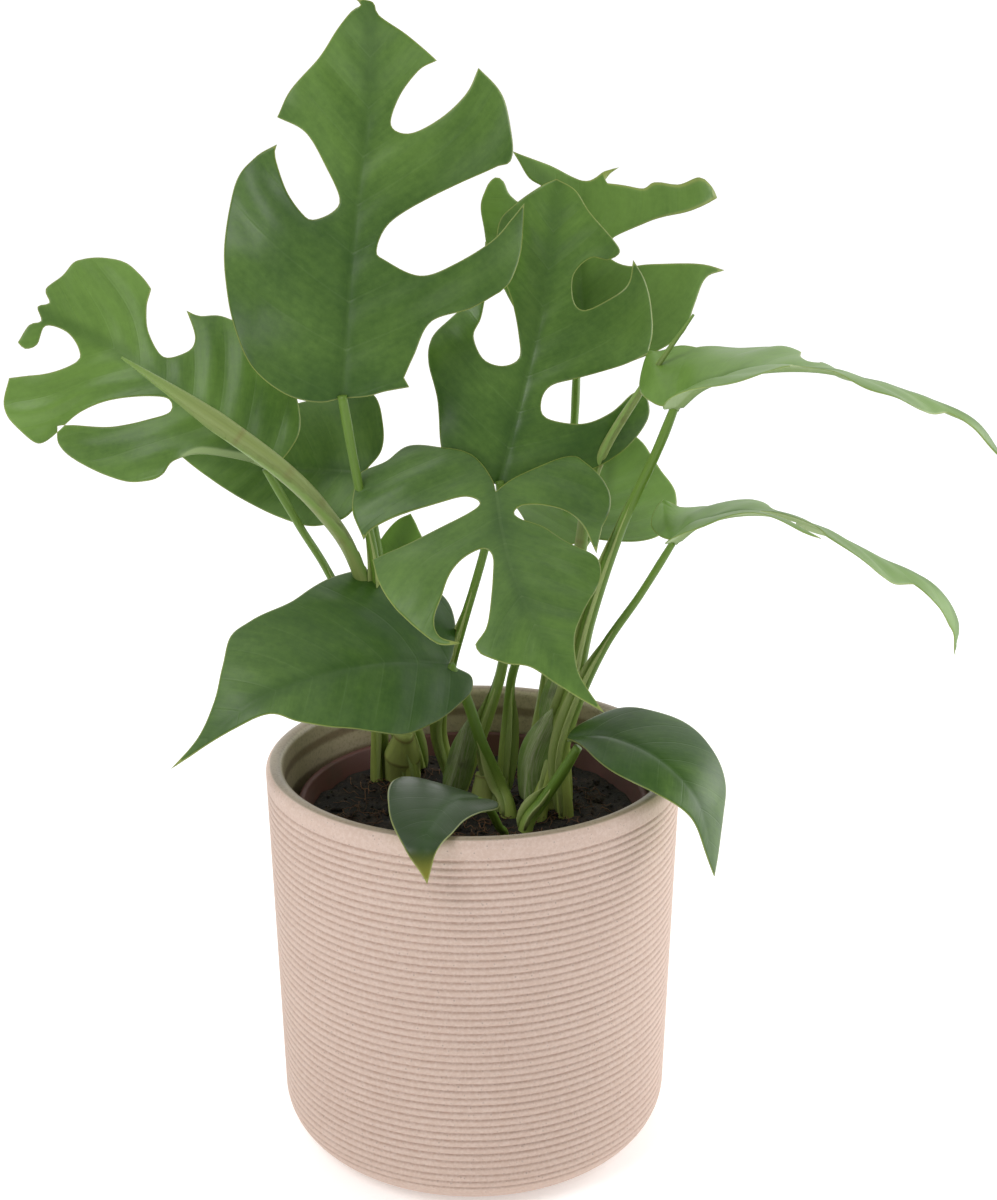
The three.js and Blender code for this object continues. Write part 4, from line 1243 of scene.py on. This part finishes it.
def wing_strip(line, radii, low, high, toward, turn):
    """One thin wing of a winged sheath, closing in a free tip, with its share of width."""
    points, faces, shares = [], [], []
    count = max(6, round((high - low) / 2))
    for i in range(count + 1):
        part = i / count
        along = low + (high - low) * part
        forward = line.forward(along)
        side = (toward - forward * toward.dot(forward)).normalized()
        other = forward.cross(side)
        radius = share_of(radii, along / line.length)
        width = (0.5 + 2.6 * math.sin(math.pi * min(1.0, part * 1.15)) ** 0.7) * (1 - part**6)
        width = max(0.05, width)
        centre = line.at(along)
        for reach, angle, half in ((0.8, 62, 0.35), (1.0, 50, 0.28), (1.6, 38, 0.2)):
            distance = radius * 0.85 + width * (reach - 0.8) / 0.8
            for offset in (half, -half):
                bend = math.radians(angle) * turn
                along_ring = Vector(math.cos(bend) * side + math.sin(bend) * other)
                sideways = Vector(-math.sin(bend) * side + math.cos(bend) * other)
                points.append(centre + distance * along_ring + offset * sideways)
            shares += [reach, reach]
    for i in range(count):
        base = i * 6
        loop = (0, 2, 4, 5, 3, 1)
        for k in range(6):
            first, second = loop[k], loop[(k + 1) % 6]
            corners = (base + first, base + second, base + 6 + second, base + 6 + first)
            faces.append(corners if turn > 0 else tuple(reversed(corners)))
    last = count * 6
    caps = [(0, 1, 3, 5, 4, 2), (last, last + 2, last + 4, last + 5, last + 3, last + 1)]
    faces += caps if turn > 0 else [tuple(reversed(cap)) for cap in caps]
    return points, faces, shares


class BuildStalks(bpy.types.Operator):
    """Grows the leaf stalks with their groove, their swelling and their winged sheaths"""

    bl_idname = "monstera.stalks"
    bl_label = "Leaf Stalks"

    def execute(self, context):
        plant = context.scene.plant_settings
        finish = stalk_finish("stalk", plant, plant.stalk, plant.stalk_foot)
        for name, entry in STALKS.items():
            if not name.startswith("petiole"):
                continue
            line = stem_path(entry)
            radii = entry["radii"]
            toward = Vector(entry["open"]).normalized()

            def reach(share, angle):
                from_tip = (1 - share) * line.length
                swelling = 1 + 0.1 * math.exp(-(((from_tip - 9) / 6) ** 2))
                channel = 1 - 0.16 * max(0.0, math.cos(angle)) ** 4
                return share_of(radii, share) * swelling * channel * 0.97

            count = round(line.length / 1.8)
            points, faces, along, around = tube(line, count, 22, reach, toward)
            wing = [0.0] * len(points)
            if entry["sheath"]:
                low, high = ROOT_DEPTH, ROOT_DEPTH + entry["sheath"] * 1.02
                for turn in (1, -1):
                    made, cells, shares = wing_strip(line, radii, low, high, toward, turn)
                    join(points, faces, made, cells)
                    along += [low / line.length + 0.3 * part for part in shares]
                    around += shares
                    wing += [min(1.0, max(0.2, part - 0.6) * 1.2) for part in shares]
            mesh_piece(
                name.replace("petiole", "leaf_stalk"), points, faces, finish, name, "stalk",
                along=along, around=around, wing=wing,
            )
        return {"FINISHED"}


class BuildNewLeaves(bpy.types.Operator):
    """Rolls up the two new leaves"""

    bl_idname = "monstera.new_leaves"
    bl_label = "New Leaves"

    def execute(self, context):
        plant = context.scene.plant_settings
        finish = stalk_finish("new leaf", plant, plant.new_leaf, plant.stalk_foot)
        for name, turns, start in (("spear_left", 0.9, 0.35), ("spear_right", 0.8, 0.4)):
            entry = STALKS[name]
            line = stem_path(entry)
            radii = entry["radii"]

            def roll_at(share, turn):
                spiral = (turn + turns * share + start) % 1.0
                return spiral, min(1.0, max(0.0, (share - 0.25) * 5))

            def reach(share, angle):
                spiral, rolled = roll_at(share, angle / (2 * math.pi))
                ledge = 1 + rolled * 0.5 * (spiral - 0.5)
                return max(0.25, share_of(radii, share) * ledge)

            points, faces, along, around = tube(line, round(line.length / 1.4), 40, reach)
            fold, rings = [], []
            for share, turn in zip(along, around):
                spiral, rolled = roll_at(share, turn)
                edge = max(0.0, 1 - abs(spiral - 0.93) / 0.09)
                fold.append(min(1.0, rolled * edge + max(0.0, (share - 0.86) / 0.14)))
                near = min(abs(share - ring) for ring in ROLLED_LEAF_RINGS) * line.length
                rings.append(0.7 * max(0.0, 1 - near / 1.2))
            mesh_piece(
                name.replace("spear", "rolled_leaf"), points, faces, finish, name, "new_leaf",
                along=along, around=around, wing=np.zeros(len(points)), fold=fold, scar=rings,
            )
        return {"FINISHED"}


class BuildBlades(bpy.types.Operator):
    """Opens the thirteen leaf blades"""

    bl_idname = "monstera.blades"
    bl_label = "Leaf Blades"

    def execute(self, context):
        plant = context.scene.plant_settings
        finish = leaf_finish(plant)
        for name, leaf in LEAVES.items():
            piece = name.replace("blade", "leaf")
            leaf_piece(piece, name, leaf, plant, finish, "leaf", *LEAF_LOOKS[name])
        return {"FINISHED"}


class BuildDriedSheaths(bpy.types.Operator):
    """Adds the papery sheaths that are left round the shoots"""

    bl_idname = "monstera.dried_sheaths"
    bl_label = "Dried Sheaths"

    def execute(self, context):
        plant = context.scene.plant_settings
        finish = dried_finish(plant)
        for name, sheath in SHEATHS.items():
            piece = name.replace("sheath", "dried_sheath")
            leaf_piece(piece, name, sheath, plant, finish, "dried_sheath", 0.5, 0, 0.4)
        return {"FINISHED"}


class BuildStage(bpy.types.Operator):
    """Sets up the floor, the soft lights and the camera"""

    bl_idname = "monstera.stage"
    bl_label = "Stage"

    def lamp(self, name, place, size, power, target):
        light = bpy.data.lights.new(name, "AREA")
        light.shape = "DISK"
        light.size = size
        light.energy = power
        lamp = bpy.data.objects.new(name, light)
        lamp.location = place
        lamp.rotation_euler = (Vector(target) - Vector(place)).to_track_quat("-Z", "Y").to_euler()
        bpy.context.scene.collection.objects.link(lamp)

    def execute(self, context):
        scene = context.scene
        stage = scene.stage_settings
        shader = Shader("floor")
        cloth = shader.noise(3, 2)
        pale = tuple(stage.floor)
        shade = shader.mix(cloth * 0.02, pale, tuple(0.97 * part for part in pale))
        finish = shader.finish(
            Base_Color=shade, Roughness=0.9, Emission_Color=(1, 1, 1), Emission_Strength=0.3,
        )
        mesh = bpy.data.meshes.new("floor")
        reach = 30
        mesh.from_pydata(
            [(-reach, -reach, 0), (reach, -reach, 0), (reach, reach, 0), (-reach, reach, 0)],
            [], [(0, 1, 2, 3)],
        )
        mesh.materials.append(finish)
        floor = bpy.data.objects.new("floor", mesh)
        scene.collection.objects.link(floor)
        surround = Shader("surround", "worlds")
        ahead = surround.parts(surround.node("ShaderNodeTexCoord").outputs["Generated"])[1]
        seen = Value(surround, surround.node("ShaderNodeLightPath").outputs["Is Camera Ray"])
        glow = stage.front + ahead.between(-0.9, 0.7) * (stage.sky - stage.front)
        glow = glow * (1 - seen) + seen * stage.sky
        light = surround.node("ShaderNodeBackground", inputs={"Color": (1, 1, 1, 1), 1: glow})
        surround.node("ShaderNodeOutputWorld", inputs=[light.outputs[0]])
        scene.world = surround.material
        self.lamp("key_light", (-0.7, -0.7, 1.3), 0.7, stage.key, (0, 0, 0.2))
        self.lamp("fill_light", (1.1, 0.3, 0.5), 0.9, stage.fill, (0, 0, 0.15))
        camera = bpy.data.cameras.new("camera")
        camera.sensor_fit = "VERTICAL"
        camera.sensor_height = 36
        camera.lens = stage.lens
        view = bpy.data.objects.new("camera", camera)
        view.location = Vector(CAMERA_PLACE) * MM
        view.rotation_euler = (math.radians(CAMERA_PITCH), 0, 0)
        scene.collection.objects.link(view)
        scene.camera = view
        scene.view_settings.view_transform = "Standard"
        return {"FINISHED"}


# ---- The sidebar panel and the order of work -----------------------------------------------

STEPS = ("stage", "stoneware", "nursery_pot", "soil", "shoots", "stalks", "new_leaves", "blades",
         "dried_sheaths")


class MonsteraPanel(bpy.types.Panel):
    """Lists the pieces and what can be changed about them"""

    bl_idname = "VIEW3D_PT_monstera"
    bl_label = "Potted Monstera"
    bl_space_type = "VIEW_3D"
    bl_region_type = "UI"
    bl_category = "Monstera"

    def draw(self, context):
        for name in STEPS:
            self.layout.operator(f"monstera.{name}")
        for group in ("stoneware_settings", "soil_settings", "plant_settings", "stage_settings"):
            box = self.layout.box()
            settings = getattr(context.scene, group)
            for key in settings.bl_rna.properties.keys():
                if key not in ("rna_type", "name"):
                    box.prop(settings, key)


GROUPS = {
    "stoneware_settings": StonewareSettings, "soil_settings": SoilSettings,
    "plant_settings": PlantSettings, "stage_settings": StageSettings,
}
CLASSES = (
    *GROUPS.values(), BuildStage, BuildStoneware, BuildNurseryPot, BuildSoil, BuildShoots,
    BuildStalks, BuildNewLeaves, BuildBlades, BuildDriedSheaths, MonsteraPanel,
)


def register():
    for made in CLASSES:
        bpy.utils.register_class(made)
    for name, group in GROUPS.items():
        setattr(bpy.types.Scene, name, PointerProperty(type=group))


def unregister():
    for name in GROUPS:
        delattr(bpy.types.Scene, name)
    for made in reversed(CLASSES):
        bpy.utils.unregister_class(made)


def main():
    register()
    for name in STEPS:
        getattr(bpy.ops.monstera, name)()


if __name__ == "__main__":
    main()
